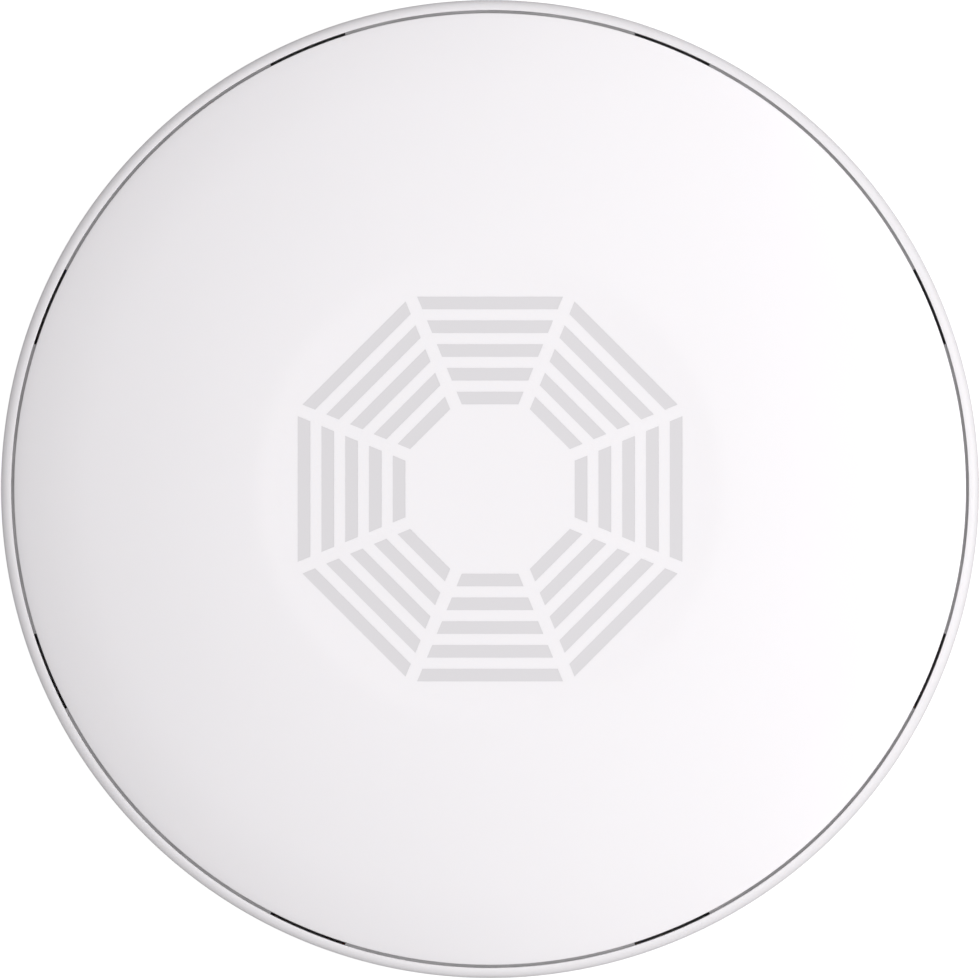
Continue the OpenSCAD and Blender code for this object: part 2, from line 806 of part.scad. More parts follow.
// The mouth that a network plug enters, with the notch for its latch
module jack_mouth(y1) {
    translate([jack_x - jack_mouth_w / 2, well_y1 - cut, jack_mouth_z])
        cube([jack_mouth_w, y1 - well_y1 + cut, jack_mouth_h]);
    translate([jack_x - jack_key_w / 2, well_y1 - cut, jack_mouth_z - jack_key_h])
        cube([jack_key_w, y1 - well_y1 + cut, jack_key_h + cut]);
}

module jack_shell() {
    color("silver") difference() {
        block([jack_x, well_y1 + jack_l / 2], jack_w, jack_l, jack_z, board_z);
        block([jack_x, well_y1 + jack_l / 2], jack_w - 2 * jack_shell_t, jack_l - 2 * jack_shell_t,
              jack_z + jack_shell_t, board_z + cut);
        jack_mouth(well_y1 + jack_shell_t + cut);
    }
}

module jack_insert() {
    color("#303030") difference() {
        block([jack_x, well_y1 + jack_l / 2], jack_w - 2 * jack_shell_t, jack_l - 2 * jack_shell_t,
              jack_z + jack_shell_t, board_z);
        jack_mouth(well_y1 + jack_mouth_l);
    }
}

// Eight spring wires that lean forward from the back of the mouth
module jack_contacts() {
    pitch = 1.02;
    wire = 0.4;
    back_y = well_y1 + jack_mouth_l;
    top_z = jack_mouth_z + jack_mouth_h;
    color("gold") for (i = [0 : 7])
        translate([jack_x + (i - 3.5) * pitch - wire / 2, 0, 0])
            rotate([90, 0, 90]) linear_extrude(wire)
                polygon([
                    [back_y, top_z - 0.5], [back_y, top_z - 0.5 - wire],
                    [back_y - 8, top_z - 2.2], [back_y - 8, top_z - 2.2 + wire]
                ]);
}

module dc_jack_body() {
    color("#202020") difference() {
        block([dc_x, well_y1 + dc_l / 2], dc_w, dc_l, board_z - dc_h, board_z);
        translate([dc_x, well_y1 - cut, dc_axis_z]) rotate([-90, 0, 0])
            cylinder(d = dc_bore_d, h = dc_depth + cut);
    }
}

module dc_jack_pin() {
    color("silver") translate([dc_x, well_y1 + 1.5, dc_axis_z]) rotate([-90, 0, 0])
        cylinder(d = dc_pin_d, h = dc_depth - 1.5);
}

// ---- Reset button ----

module reset_switch() {
    color("#303030") difference() {
        block([reset_x, reset_switch_y + reset_switch_l / 2], switch_w, reset_switch_l,
              board_z - switch_w, board_z);
        translate([reset_x, reset_switch_y - cut, reset_axis_z]) rotate([-90, 0, 0])
            cylinder(d = reset_plunger_d + 2 * fit_gap, h = reset_bore_l + cut);
    }
}

// Button with the flange that keeps it in its hole and the plunger of the switch
module reset_button() {
    face_y = well_y1 + reset_set_back;
    flange_end_y = reset_flange_y + reset_flange_t;
    plunger_end_y = reset_switch_y + reset_bore_l - reset_travel - fit_gap;
    color("gainsboro") translate([reset_x, 0, reset_axis_z]) rotate([-90, 0, 0]) union() {
        translate([0, 0, face_y]) cylinder(d = reset_d, h = flange_end_y - face_y);
        translate([0, 0, reset_flange_y]) cylinder(d = reset_d + 1.4, h = reset_flange_t);
        translate([0, 0, reset_flange_y])
            cylinder(d = reset_plunger_d, h = plunger_end_y - reset_flange_y);
    }
}

// ---- Antennas ----

module antenna_ring() {
    color("darkgreen") difference() {
        ring(antenna_ring_r, antenna_ring_r - antenna_ring_w, ring_z, foot_z);
        for (i = [0 : antenna_count - 1]) rotate([0, 0, i * antenna_turn])
            translate([ring_mid_r, 0, ring_z - cut])
                cylinder(d = ring_stake_d + 0.2, h = ring_t + 2 * cut);
    }
}

// One antenna: a foot on the ring, a standing arc of sheet and a feed tab for the lead
module antenna(index, arc) {
    a = (index + 0.5) * antenna_turn;
    union() {
        ring_sector(ring_mid_r + element_t, ring_mid_r, foot_z, foot_z + element_h,
                    a - arc / 2, a + arc / 2);
        ring_sector(ring_mid_r + element_t + foot_reach, ring_mid_r, foot_z, foot_z + element_t,
                    a - arc / 4, a + arc / 4);
        radial_block(a, ring_mid_r - tab_reach, ring_mid_r + element_t, tab_w,
                     foot_z, foot_z + tab_h);
    }
}

module antennas_low_band() {
    color("goldenrod") for (i = [0 : 2 : antenna_count - 1]) antenna(i, low_band_arc);
}

module antennas_high_band() {
    color("goldenrod") for (i = [1 : 2 : antenna_count - 1]) antenna(i, high_band_arc);
}

// Each lead runs straight from its crimp to its tab, and ends face to face with both
module antenna_leads() {
    run = ring_mid_r - tab_reach - lead_start_r;
    rise = lead_end_z - lead_start_z;
    color("#404040") for (i = [0 : antenna_count - 1])
        rotate([0, 0, (i + 0.5) * antenna_turn]) intersection() {
            translate([lead_start_r, 0, lead_start_z]) rotate([0, atan2(run, rise), 0])
                translate([0, 0, -cut]) cylinder(d = lead_d, h = norm([run, rise]) + 2 * cut);
            translate([lead_start_r, -lead_d, 0]) cube([run, 2 * lead_d, body_h]);
        }
}

module lead_plugs() {
    plug_top = board_top + lead_plug_h;
    color("gold") for (i = [0 : antenna_count - 1]) let (a = (i + 0.5) * antenna_turn)
        union() {
            rotate([0, 0, a]) translate([lead_plug_r, 0, board_top])
                cylinder(d = lead_plug_d, h = lead_plug_h);
            radial_block(a, lead_plug_r, lead_start_r, lead_crimp_w, board_top, plug_top);
        }
}

module rating_label() {
    color("whitesmoke")
        radial_block(180, recess_r + 4.5, back_r - 3, label_w, ceiling_gap - label_t, ceiling_gap);
}

ceiling_bracket();
rear_housing();
front_cover();
stripe_inlays();
light_guide();
light_gasket();
mounting_studs();
lock_slider();
heatsink();
thermal_pads();
main_board();
board_screws();
cover_screws();
heatsink_screws();
shield_cans();
radio_chips();
processor();
memory_chips();
jack_shell();
jack_insert();
jack_contacts();
dc_jack_body();
dc_jack_pin();
line_transformer();
power_transformer();
capacitors();
power_coils();
reset_switch();
reset_button();
status_led();
antenna_ring();
antennas_low_band();
antennas_high_band();
antenna_leads();
lead_plugs();
rating_label();
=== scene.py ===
"""Finishes, smooth shells and studio for a ceiling access point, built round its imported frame.

The frame lies on its back: +Z is out of the front face, and z = 0 is the ceiling plane.
Every length is in metres.
"""

import logging
import math
from contextlib import contextmanager
from dataclasses import dataclass, field
from enum import Enum
from typing import Iterator, Sequence

import bmesh
import bpy
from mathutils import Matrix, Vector


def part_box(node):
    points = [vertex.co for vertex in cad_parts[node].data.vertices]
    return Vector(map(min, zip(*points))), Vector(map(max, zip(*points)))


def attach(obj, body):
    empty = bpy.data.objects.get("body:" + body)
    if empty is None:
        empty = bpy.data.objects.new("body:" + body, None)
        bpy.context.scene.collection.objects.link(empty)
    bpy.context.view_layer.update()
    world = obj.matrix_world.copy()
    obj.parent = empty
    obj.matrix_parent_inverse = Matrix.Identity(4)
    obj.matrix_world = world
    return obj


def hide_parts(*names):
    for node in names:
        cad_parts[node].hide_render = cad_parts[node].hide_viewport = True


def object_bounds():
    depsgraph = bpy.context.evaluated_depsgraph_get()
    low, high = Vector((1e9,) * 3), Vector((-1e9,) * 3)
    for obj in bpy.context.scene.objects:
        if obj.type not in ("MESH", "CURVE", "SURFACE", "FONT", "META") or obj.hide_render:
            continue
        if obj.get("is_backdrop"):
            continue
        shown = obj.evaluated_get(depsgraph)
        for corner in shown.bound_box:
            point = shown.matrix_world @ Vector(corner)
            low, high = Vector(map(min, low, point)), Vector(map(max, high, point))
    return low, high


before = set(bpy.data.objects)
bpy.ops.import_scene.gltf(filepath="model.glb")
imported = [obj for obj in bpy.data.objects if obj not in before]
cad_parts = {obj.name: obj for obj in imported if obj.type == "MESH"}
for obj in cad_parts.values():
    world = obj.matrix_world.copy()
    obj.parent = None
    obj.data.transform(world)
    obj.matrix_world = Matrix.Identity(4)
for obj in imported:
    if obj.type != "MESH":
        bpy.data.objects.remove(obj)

LOG = logging.getLogger("access_point")
MM = 0.001

Colour = tuple[float, float, float]
Point = tuple[float, float]


class Body(Enum):
    """The rigid bodies that pieces ride on."""

    BRACKET = "bracket"
    ACCESS_POINT = "access_point"
    LOCK = "lock"
    RESET = "reset"


class Cut(Enum):
    """How one solid changes another."""

    ADD = "UNION"
    REMOVE = "DIFFERENCE"
    KEEP_COMMON = "INTERSECT"


class Light(Enum):
    """What a flagged lamp does with the piece it is flagged for."""

    SKIP = "EXCLUDE"
    ONLY = "INCLUDE"


# ---- Shader node groups ----


class NodeBench:
    """Adds and joins nodes in one node tree."""

    def __init__(self, tree: bpy.types.NodeTree) -> None:
        """Keep the tree that the nodes go into.

        Args:
            tree: The node tree of a material or a group.
        """
        self.tree = tree

    def add(self, kind: str, **settings: object) -> bpy.types.Node:
        """Add a node and set its properties.

        Args:
            kind: The node's type, without the "ShaderNode" prefix.
            settings: Properties of the node by name.

        Returns:
            The new node.
        """
        node = self.tree.nodes.new("ShaderNode" + kind)
        for name, value in settings.items():
            setattr(node, name, value)
        return node

    def join(self, source: bpy.types.NodeSocket, target: bpy.types.NodeSocket) -> None:
        """Link an output socket to an input socket."""
        self.tree.links.new(source, target)

    def feed(self, value: object, target: bpy.types.NodeSocket) -> None:
        """Give an input a socket's value or a constant.

        Args:
            value: An output socket, or what the input holds.
            target: The input.
        """
        if isinstance(value, bpy.types.NodeSocket):
            self.join(value, target)
        else:
            target.default_value = value

    def maths(self, operation: str, *inputs: object) -> bpy.types.NodeSocket:
        """Add a Math node.

        Args:
            operation: The node's operation.
            inputs: A number or an output socket for each input.

        Returns:
            The node's output socket.
        """
        node = self.add("Math", operation=operation)
        for socket, value in zip(node.inputs, inputs):
            self.feed(value, socket)
        return node.outputs[0]

    def spread(
        self, value: bpy.types.NodeSocket, old: Point, new: tuple[object, object] = (0.0, 1.0)
    ) -> bpy.types.NodeSocket:
        """Map a value from one range to another and clamp it.

        Args:
            value: The socket to map.
            old: The range that the value has.
            new: The wanted range, as numbers or sockets.

        Returns:
            The mapped value's socket.
        """
        node = self.add("MapRange", clamp=True)
        self.join(value, node.inputs["Value"])
        node.inputs["From Min"].default_value, node.inputs["From Max"].default_value = old
        for name, wanted in zip(("To Min", "To Max"), new):
            self.feed(wanted, node.inputs[name])
        return node.outputs["Result"]

    def noise(
        self, coordinates: bpy.types.NodeSocket, scale: object, detail: float = 2.0
    ) -> bpy.types.NodeSocket:
        """Add a noise texture.

        Args:
            coordinates: The vector socket to read the texture at.
            scale: The texture's scale, as a number or a socket.
            detail: How many finer layers it has.

        Returns:
            The noise value's socket.
        """
        node = self.add("TexNoise")
        self.join(coordinates, node.inputs["Vector"])
        self.feed(scale, node.inputs["Scale"])
        node.inputs["Detail"].default_value = detail
        return node.outputs[0]

    def blend(
        self, factor: bpy.types.NodeSocket, low: object, high: object
    ) -> bpy.types.NodeSocket:
        """Blend two colours.

        Args:
            factor: The socket that goes from the first colour to the second.
            low: The first colour, as four numbers or a socket.
            high: The second colour.

        Returns:
            The blended colour's socket.
        """
        node = self.add("Mix", data_type="RGBA")
        self.join(factor, node.inputs["Factor"])
        for name, value in (("A", low), ("B", high)):
            self.feed(value, node.inputs[name])
        return node.outputs["Result"]

    def spot(self) -> bpy.types.NodeSocket:
        """The object's own coordinates."""
        return self.add("TexCoord").outputs["Object"]


class GroupBench(NodeBench):
    """The bench of a node group, with the group's inputs and outputs."""

    def __init__(self, tree: bpy.types.NodeTree) -> None:
        """Give the tree its two end nodes.

        Args:
            tree: The group's tree.
        """
        super().__init__(tree)
        self.start = tree.nodes.new("NodeGroupInput")
        self.end = tree.nodes.new("NodeGroupOutput")

    def take(self, label: str) -> bpy.types.NodeSocket:
        """The socket of one of the group's inputs."""
        return self.start.outputs[label]

    def give(self, label: str, value: bpy.types.NodeSocket) -> None:
        """Join a value to one of the group's outputs."""
        self.join(value, self.end.inputs[label])


class MaterialBench(NodeBench):
    """The bench of a new material, with its Principled shader."""

    def __init__(self, name: str) -> None:
        """Make the material, its shader and its output.

        Args:
            name: The material's name.
        """
        self.material = bpy.data.materials.new(name)
        self.material.use_nodes = True
        super().__init__(self.material.node_tree)
        self.tree.nodes.clear()
        self.shader = self.add("BsdfPrincipled")
        self.join(self.shader.outputs[0], self.add("OutputMaterial").inputs["Surface"])

    def set(self, label: str, value: object) -> None:
        """Give one of the shader's inputs a socket's value or a constant."""
        self.feed(value, self.shader.inputs[label])


class EffectGroup:
    """A node group that is built once and placed in many materials."""

    name = ""
    inputs: dict[str, float] = {}
    outputs: tuple[str, ...] = ()

    @classmethod
    def tree(cls) -> bpy.types.NodeTree:
        """Build the group's tree the first time it is asked for.

        Returns:
            The group's node tree.
        """
        found = bpy.data.node_groups.get(cls.name)
        if found:
            return found
        made = bpy.data.node_groups.new(cls.name, "ShaderNodeTree")
        for label, value in cls.inputs.items():
            socket = made.interface.new_socket(
                name=label, in_out="INPUT", socket_type="NodeSocketFloat"
            )
            socket.default_value = value
        for label in cls.outputs:
            made.interface.new_socket(name=label, in_out="OUTPUT", socket_type="NodeSocketFloat")
        cls.wire(GroupBench(made))
        return made

    @classmethod
    def wire(cls, bench: GroupBench) -> None:
        """Make the group's own nodes; each effect writes this.

        Args:
            bench: The group's bench.
        """
        raise NotImplementedError

    @classmethod
    def place(cls, bench: NodeBench, **values: float) -> bpy.types.Node:
        """Put the group in a material.

        Args:
            bench: The material's bench.
            values: Input values by name, with _ for a space.

        Returns:
            The group node.
        """
        node = bench.add("Group", node_tree=cls.tree())
        for label, value in values.items():
            node.inputs[label.replace("_", " ")].default_value = value
        return node


class MouldGrain(EffectGroup):
    """Spark-eroded grain of moulded plastic, with the slight flow marks under it."""

    name = "mould_grain"
    inputs = {"Grain Scale": 7000.0, "Flow": 0.25}
    outputs = ("Height", "Tone", "Gloss Change")
    ripple_scale = 900.0
    flow_scale = 14.0

    @classmethod
    def wire(cls, bench: GroupBench) -> None:
        """Mix fine grain with broad flow marks.

        Args:
            bench: The group's bench.
        """
        place = bench.spot()
        fine = bench.noise(place, bench.take("Grain Scale"), 3.0)
        coarse = bench.noise(place, cls.ripple_scale, 2.0)
        broad = bench.noise(place, cls.flow_scale, 3.0)
        ripple = bench.maths("MULTIPLY", coarse, bench.take("Flow"))
        bench.give("Height", bench.maths("ADD", fine, ripple))
        bench.give("Tone", bench.spread(broad, (0.3, 0.7)))
        mixed = bench.maths("ADD", bench.maths("MULTIPLY", fine, 0.5), bench.maths("MULTIPLY", broad, 0.5))
        bench.give("Gloss Change", bench.spread(mixed, (0.3, 0.7)))


class EdgeRub(EffectGroup):
    """Mask of the outer edges that hands and tools rub."""

    name = "edge_rub"
    inputs = {"Radius": 0.0004, "Break Up": 260.0}
    outputs = ("Mask",)

    @classmethod
    def wire(cls, bench: GroupBench) -> None:
        """Compare the rounded normal with the true one, and break the mask up.

        Args:
            bench: The group's bench.
        """
        rounded = bench.add("Bevel", samples=4)
        bench.join(bench.take("Radius"), rounded.inputs["Radius"])
        true = bench.add("NewGeometry").outputs["Normal"]
        meet = bench.add("VectorMath", operation="DOT_PRODUCT")
        bench.join(rounded.outputs[0], meet.inputs[0])
        bench.join(true, meet.inputs[1])
        edge = bench.spread(meet.outputs["Value"], (0.99, 0.8))
        place = bench.spot()
        patches = bench.noise(place, bench.take("Break Up"), 4.0)
        kept = bench.spread(patches, (0.42, 0.6))
        bench.give("Mask", bench.maths("MULTIPLY", edge, kept))


class SettledDust(EffectGroup):
    """Thin dust that lies on what faces up."""

    name = "settled_dust"
    inputs = {"Amount": 0.2}
    outputs = ("Mask",)
    speck_scale = 3200.0
    cloud_scale = 60.0

    @classmethod
    def wire(cls, bench: GroupBench) -> None:
        """Speckle the upward faces.

        Args:
            bench: The group's bench.
        """
        geometry = bench.add("NewGeometry")
        split = bench.add("SeparateXYZ")
        bench.join(geometry.outputs["Normal"], split.inputs[0])
        upward = bench.spread(split.outputs["Z"], (0.2, 1.0))
        place = bench.spot()
        specks = bench.spread(bench.noise(place, cls.speck_scale, 1.0), (0.62, 0.72))
        clouds = bench.spread(bench.noise(place, cls.cloud_scale, 3.0), (0.35, 0.75))
        lying = bench.maths("MULTIPLY", bench.maths("MULTIPLY", specks, clouds), upward)
        bench.give("Mask", bench.maths("MULTIPLY", lying, bench.take("Amount")))


class CreviceShade(EffectGroup):
    """Painted shade: darkens the colour deep in seams and inner corners, where ambient occlusion finds them
    closed in.
    """

    name = "crevice_shade"
    inputs = {"Reach": 0.0015, "Amount": 0.8}
    outputs = ("Mask",)
    patch_scale = 180.0

    @classmethod
    def wire(cls, bench: GroupBench) -> None:
        """Find what is closed in, to darken it as painted shade, and break its border up a little.

        Args:
            bench: The group's bench.
        """
        closed = bench.add("AmbientOcclusion", samples=6)
        bench.join(bench.take("Reach"), closed.inputs["Distance"])
        place = bench.spot()
        patches = bench.spread(bench.noise(place, cls.patch_scale, 3.0), (0.3, 0.7), (0.75, 1.0))
        depth = bench.spread(closed.outputs["AO"], (0.75, 0.15))
        full = bench.maths("MULTIPLY", depth, patches)
        bench.give("Mask", bench.maths("MULTIPLY", full, bench.take("Amount")))


class DrawnLines(EffectGroup):
    """Fine lines that drawing, rolling or turning leaves on metal."""

    name = "drawn_lines"
    inputs = {"Line Scale": 3000.0, "Stretch": 0.03}
    outputs = ("Height", "Gloss Change")
    stain_scale = 120.0

    @classmethod
    def wire(cls, bench: GroupBench) -> None:
        """Stretch noise along X and put a broad variation over it.

        Args:
            bench: The group's bench.
        """
        place = bench.spot()
        squeeze = bench.add("CombineXYZ")
        bench.join(bench.take("Stretch"), squeeze.inputs["X"])
        squeeze.inputs["Y"].default_value = 1.0
        squeeze.inputs["Z"].default_value = 1.0
        stretched = bench.add("VectorMath", operation="MULTIPLY")
        bench.join(place, stretched.inputs[0])
        bench.join(squeeze.outputs[0], stretched.inputs[1])
        lines = bench.noise(stretched.outputs[0], bench.take("Line Scale"), 2.0)
        stains = bench.noise(place, cls.stain_scale, 3.0)
        bench.give("Height", lines)
        both = bench.maths("ADD", bench.maths("MULTIPLY", lines, 0.6), bench.maths("MULTIPLY", stains, 0.4))
        bench.give("Gloss Change", bench.spread(both, (0.3, 0.7)))


# ---- Finishes ----


def tinted(colour: Colour, factor: float) -> tuple[float, float, float, float]:
    """Lighten or darken a colour.

    Args:
        colour: Linear red, green and blue.
        factor: What each is multiplied by.

    Returns:
        The colour with full alpha.
    """
    return (*(min(1.0, max(0.0, part * factor)) for part in colour), 1.0)


@dataclass(frozen=True)
class Finish:
    """A surface finish: its colour, its gloss, and how far each varies."""

    name: str
    colour: Colour
    roughness: float
    tone_range: float = 0.02
    gloss_range: float = 0.06
    bump: float = 0.05
    depth: float = 0.00002

    def build(self) -> bpy.types.Material:
        """Make the material, or find it if it is made already.

        Returns:
            The material.
        """
        found = bpy.data.materials.get(self.name)
        if found:
            return found
        bench = MaterialBench(self.name)
        self.wire(bench)
        return bench.material

    def wire(self, bench: MaterialBench) -> None:
        """Make the finish's own nodes; each finish writes this.

        Args:
            bench: The material's bench.
        """
        raise NotImplementedError

    def paint(
        self,
        bench: MaterialBench,
        tone: bpy.types.NodeSocket,
        rub: bpy.types.NodeSocket | None = None,
        rub_colour: Colour | None = None,
    ) -> None:
        """Join a varying tone, and rubbed edges if wanted, to the base colour.

        Args:
            bench: The material's bench.
            tone: The mask that swings the colour between its dark and light ends.
            rub: Mask of rubbed edges.
            rub_colour: The colour of a rubbed edge.
        """
        low, high = tinted(self.colour, 1.0 - self.tone_range), tinted(self.colour, 1.0 + self.tone_range)
        result = bench.blend(tone, low, high)
        if rub is not None and rub_colour is not None:
            result = bench.blend(rub, result, (*rub_colour, 1.0))
        bench.set("Base Color", result)

    def texture(
        self, bench: MaterialBench, change: bpy.types.NodeSocket, height: bpy.types.NodeSocket
    ) -> None:
        """Vary the roughness about its middle value, and bend the normals by a height.

        Args:
            bench: The material's bench.
            change: The mask that swings the roughness.
            height: The height's socket.
        """
        ends = (self.roughness - self.gloss_range, self.roughness + self.gloss_range)
        bench.set("Roughness", bench.spread(change, (0.0, 1.0), ends))
        bump = bench.add("Bump")
        bump.inputs["Strength"].default_value = self.bump
        bump.inputs["Distance"].default_value = self.depth
        bench.join(height, bump.inputs["Height"])
        bench.set("Normal", bump.outputs[0])


@dataclass(frozen=True)
class MouldedPlastic(Finish):
    """Injection-moulded plastic with spark-eroded grain."""

    grain_scale: float = 7000.0
    flow: float = 0.25
    rub_tint: float = 0.93
    dust: float = 0.1
    # Painted shade in crevices: how strong it is, how far its occlusion reaches and how dark it goes
    painted_shade: float = 0.5
    painted_shade_reach: float = 0.0015
    painted_shade_tint: float = 0.3
    translucency: float = 0.0

    def wire(self, bench: MaterialBench) -> None:
        """Grain, flow marks, rubbed edges, a little dust and painted shade in crevices.

        Args:
            bench: The material's bench.
        """
        grain = MouldGrain.place(bench, Grain_Scale=self.grain_scale, Flow=self.flow)
        marks = bench.maths("MULTIPLY", EdgeRub.place(bench).outputs["Mask"], 0.5)
        if self.dust:
            dust = SettledDust.place(bench, Amount=self.dust)
            marks = bench.maths("MAXIMUM", marks, dust.outputs["Mask"])
        rub_colour = tinted(self.colour, self.rub_tint)[:3]
        self.paint(bench, grain.outputs["Tone"], marks, rub_colour)
        # Painted shade in seams and inner corners
        if self.painted_shade:
            self.paint_crevice_shade(bench)
        self.texture(bench, grain.outputs["Gloss Change"], grain.outputs["Height"])
        if self.translucency:
            bench.set("Subsurface Weight", self.translucency)
            bench.set("Subsurface Scale", 0.0015)
            bench.set("Subsurface Radius", (1.0, 0.9, 0.8))

    def paint_crevice_shade(self, bench: MaterialBench) -> None:
        """Darken the colour as painted shade where seams and inner corners are closed in.

        Args:
            bench: The material's bench.
        """
        base = bench.shader.inputs["Base Color"]
        clean = base.links[0].from_socket
        painted_shade = CreviceShade.place(bench, Reach=self.painted_shade_reach, Amount=self.painted_shade)
        bench.join(bench.blend(painted_shade.outputs["Mask"], clean, tinted(self.colour, self.painted_shade_tint)), base)


@dataclass(frozen=True)
class WorkedMetal(Finish):
    """Plated, rolled or machined metal."""

    line_scale: float = 3000.0
    stretch: float = 0.03

    def wire(self, bench: MaterialBench) -> None:
        """Drawn lines, stains and bright edges.

        Args:
            bench: The material's bench.
        """
        bench.set("Metallic", 1.0)
        lines = DrawnLines.place(bench, Line_Scale=self.line_scale, Stretch=self.stretch)
        rub = EdgeRub.place(bench, Radius=0.0002)
        bright = tinted(self.colour, 1.15)[:3]
        self.paint(bench, lines.outputs["Gloss Change"], rub.outputs[0], bright)
        self.texture(bench, lines.outputs["Gloss Change"], lines.outputs["Height"])


@dataclass(frozen=True)
class SolderMask(Finish):
    """Circuit board laminate under solder mask, with copper lines showing through."""

    trace_scale: float = 260.0

    def wire(self, bench: MaterialBench) -> None:
        """Blocky copper runs under a glossy skin.

        Args:
            bench: The material's bench.
        """
        place = bench.spot()
        runs = bench.add("TexBrick")
        bench.join(place, runs.inputs["Vector"])
        runs.inputs["Scale"].default_value = self.trace_scale
        runs.inputs["Mortar Size"].default_value = 0.04
        weave = bench.noise(place, 5000.0, 1.0)
        grain = MouldGrain.place(bench, Grain_Scale=4000.0, Flow=0.1)
        tone = bench.maths("MAXIMUM", runs.outputs["Fac"], bench.maths("MULTIPLY", weave, 0.3))
        self.paint(bench, tone)
        height = bench.maths("ADD", runs.outputs["Fac"], weave)
        self.texture(bench, grain.outputs["Gloss Change"], height)
        bench.set("Coat Weight", 0.4)
        bench.set("Coat Roughness", 0.12)


@dataclass(frozen=True)
class SoftFoam(Finish):
    """Open foam or soft silicone."""

    cell_scale: float = 1800.0

    def wire(self, bench: MaterialBench) -> None:
        """Cells as small dark pits.

        Args:
            bench: The material's bench.
        """
        place = bench.spot()
        cells = bench.add("TexVoronoi")
        bench.join(place, cells.inputs["Vector"])
        cells.inputs["Scale"].default_value = self.cell_scale
        pits = bench.spread(cells.outputs["Distance"], (0.0, 0.6))
        self.paint(bench, pits)
        self.texture(bench, pits, pits)


@dataclass(frozen=True)
class ClearPlastic(Finish):
    """Clear moulded plastic with faint moulding haze."""

    def wire(self, bench: MaterialBench) -> None:
        """Clear body with haze in its gloss.

        Args:
            bench: The material's bench.
        """
        grain = MouldGrain.place(bench, Grain_Scale=2500.0, Flow=0.6)
        self.paint(bench, grain.outputs["Tone"])
        self.texture(bench, grain.outputs["Gloss Change"], grain.outputs["Height"])
        bench.set("Transmission Weight", 0.9)
        bench.set("IOR", 1.49)


@dataclass(frozen=True)
class LabelFilm(Finish):
    """Bare satin label film, with a little dust on what faces up."""

    def wire(self, bench: MaterialBench) -> None:
        """Fibre tone and faint handling marks.

        Args:
            bench: The material's bench.
        """
        grain = MouldGrain.place(bench, Grain_Scale=5200.0, Flow=0.8)
        dust = SettledDust.place(bench, Amount=0.2)
        self.paint(bench, grain.outputs["Tone"], dust.outputs[0], (0.55, 0.54, 0.52))
        self.texture(bench, grain.outputs["Gloss Change"], grain.outputs["Height"])


# The white shell's strong painted shade darkens the shadow gap, the vents and every other crevice
WHITE_SHELL = MouldedPlastic(
    "white_moulding", (0.80, 0.778, 0.80), 0.42, tone_range=0.006, gloss_range=0.03, bump=0.12,
    depth=0.00001, dust=0.0, painted_shade=0.9, translucency=0.08,
)
STRIPE_GREY = MouldedPlastic(
    "stripe_grey", (0.63, 0.612, 0.632), 0.45, tone_range=0.01, gloss_range=0.03, bump=0.1,
    depth=0.00001, dust=0.0, painted_shade=0.0,
)
BRACKET_WHITE = MouldedPlastic("bracket_white", (0.70, 0.70, 0.68), 0.55, tone_range=0.02)
SLIDER_GREY = MouldedPlastic("slider_grey", (0.30, 0.31, 0.32), 0.5, tone_range=0.03)
BUTTON_GREY = MouldedPlastic("button_grey", (0.42, 0.42, 0.43), 0.45)
SOCKET_BLACK = MouldedPlastic("socket_black", (0.022, 0.022, 0.024), 0.4, tone_range=0.2, rub_tint=1.8)
CHIP_BLACK = MouldedPlastic("chip_black", (0.03, 0.03, 0.032), 0.55, tone_range=0.2, grain_scale=9000.0)
TAPE_YELLOW = MouldedPlastic("tape_yellow", (0.62, 0.42, 0.06), 0.3, tone_range=0.08)
LEAD_BLACK = MouldedPlastic("lead_black", (0.03, 0.03, 0.035), 0.35, tone_range=0.15)
ZINC_STEEL = WorkedMetal("zinc_steel", (0.62, 0.62, 0.63), 0.3, tone_range=0.08, gloss_range=0.1)
TIN_PLATE = WorkedMetal(
    "tin_plate", (0.66, 0.66, 0.66), 0.25, tone_range=0.05, gloss_range=0.08, stretch=0.02
)
GOLD_PLATE = WorkedMetal("gold_flash", (0.86, 0.62, 0.24), 0.22, tone_range=0.06)
CAST_PLATE = WorkedMetal(
    "cast_plate", (0.60, 0.61, 0.62), 0.42, tone_range=0.08, gloss_range=0.1, stretch=1.0
)
CAN_SLEEVE = WorkedMetal("can_sleeve", (0.5, 0.52, 0.56), 0.3, tone_range=0.05)
BOARD_GREEN = SolderMask("board_green", (0.012, 0.09, 0.04), 0.35, tone_range=0.35)
PAD_PINK = SoftFoam("pad_pink", (0.45, 0.28, 0.30), 0.8, tone_range=0.1)
FOAM_BLACK = SoftFoam("foam_black", (0.02, 0.02, 0.022), 0.95, tone_range=0.4, bump=0.5, depth=0.0001)
GUIDE_CLEAR = ClearPlastic("guide_clear", (0.9, 0.95, 0.97), 0.12, tone_range=0.01)
LABEL_WHITE = LabelFilm("label_white", (0.72, 0.72, 0.70), 0.35, tone_range=0.02)


# ---- Mesh tools ----


def arc(centre: Point, radius: float, start: float, end: float, steps: int) -> list[Point]:
    """Points along an arc in the plane of a section.

    Args:
        centre: The arc's centre, as distance from the axis and height.
        radius: The arc's radius.
        start: The first point's angle in degrees, 0 outwards and 90 up.
        end: The last point's angle.
        steps: How many stretches the arc is cut into.

    Returns:
        The points, both ends among them.
    """
    angles = [math.radians(start + (end - start) * i / steps) for i in range(steps + 1)]
    return [(centre[0] + radius * math.cos(a), centre[1] + radius * math.sin(a)) for a in angles]


def link(name: str, data: bpy.types.ID) -> bpy.types.Object:
    """Put a mesh, a lamp or a camera in the scene as a new object.

    Args:
        name: The object's name.
        data: Its data.

    Returns:
        The object.
    """
    made = bpy.data.objects.new(name, data)
    bpy.context.scene.collection.objects.link(made)
    return made


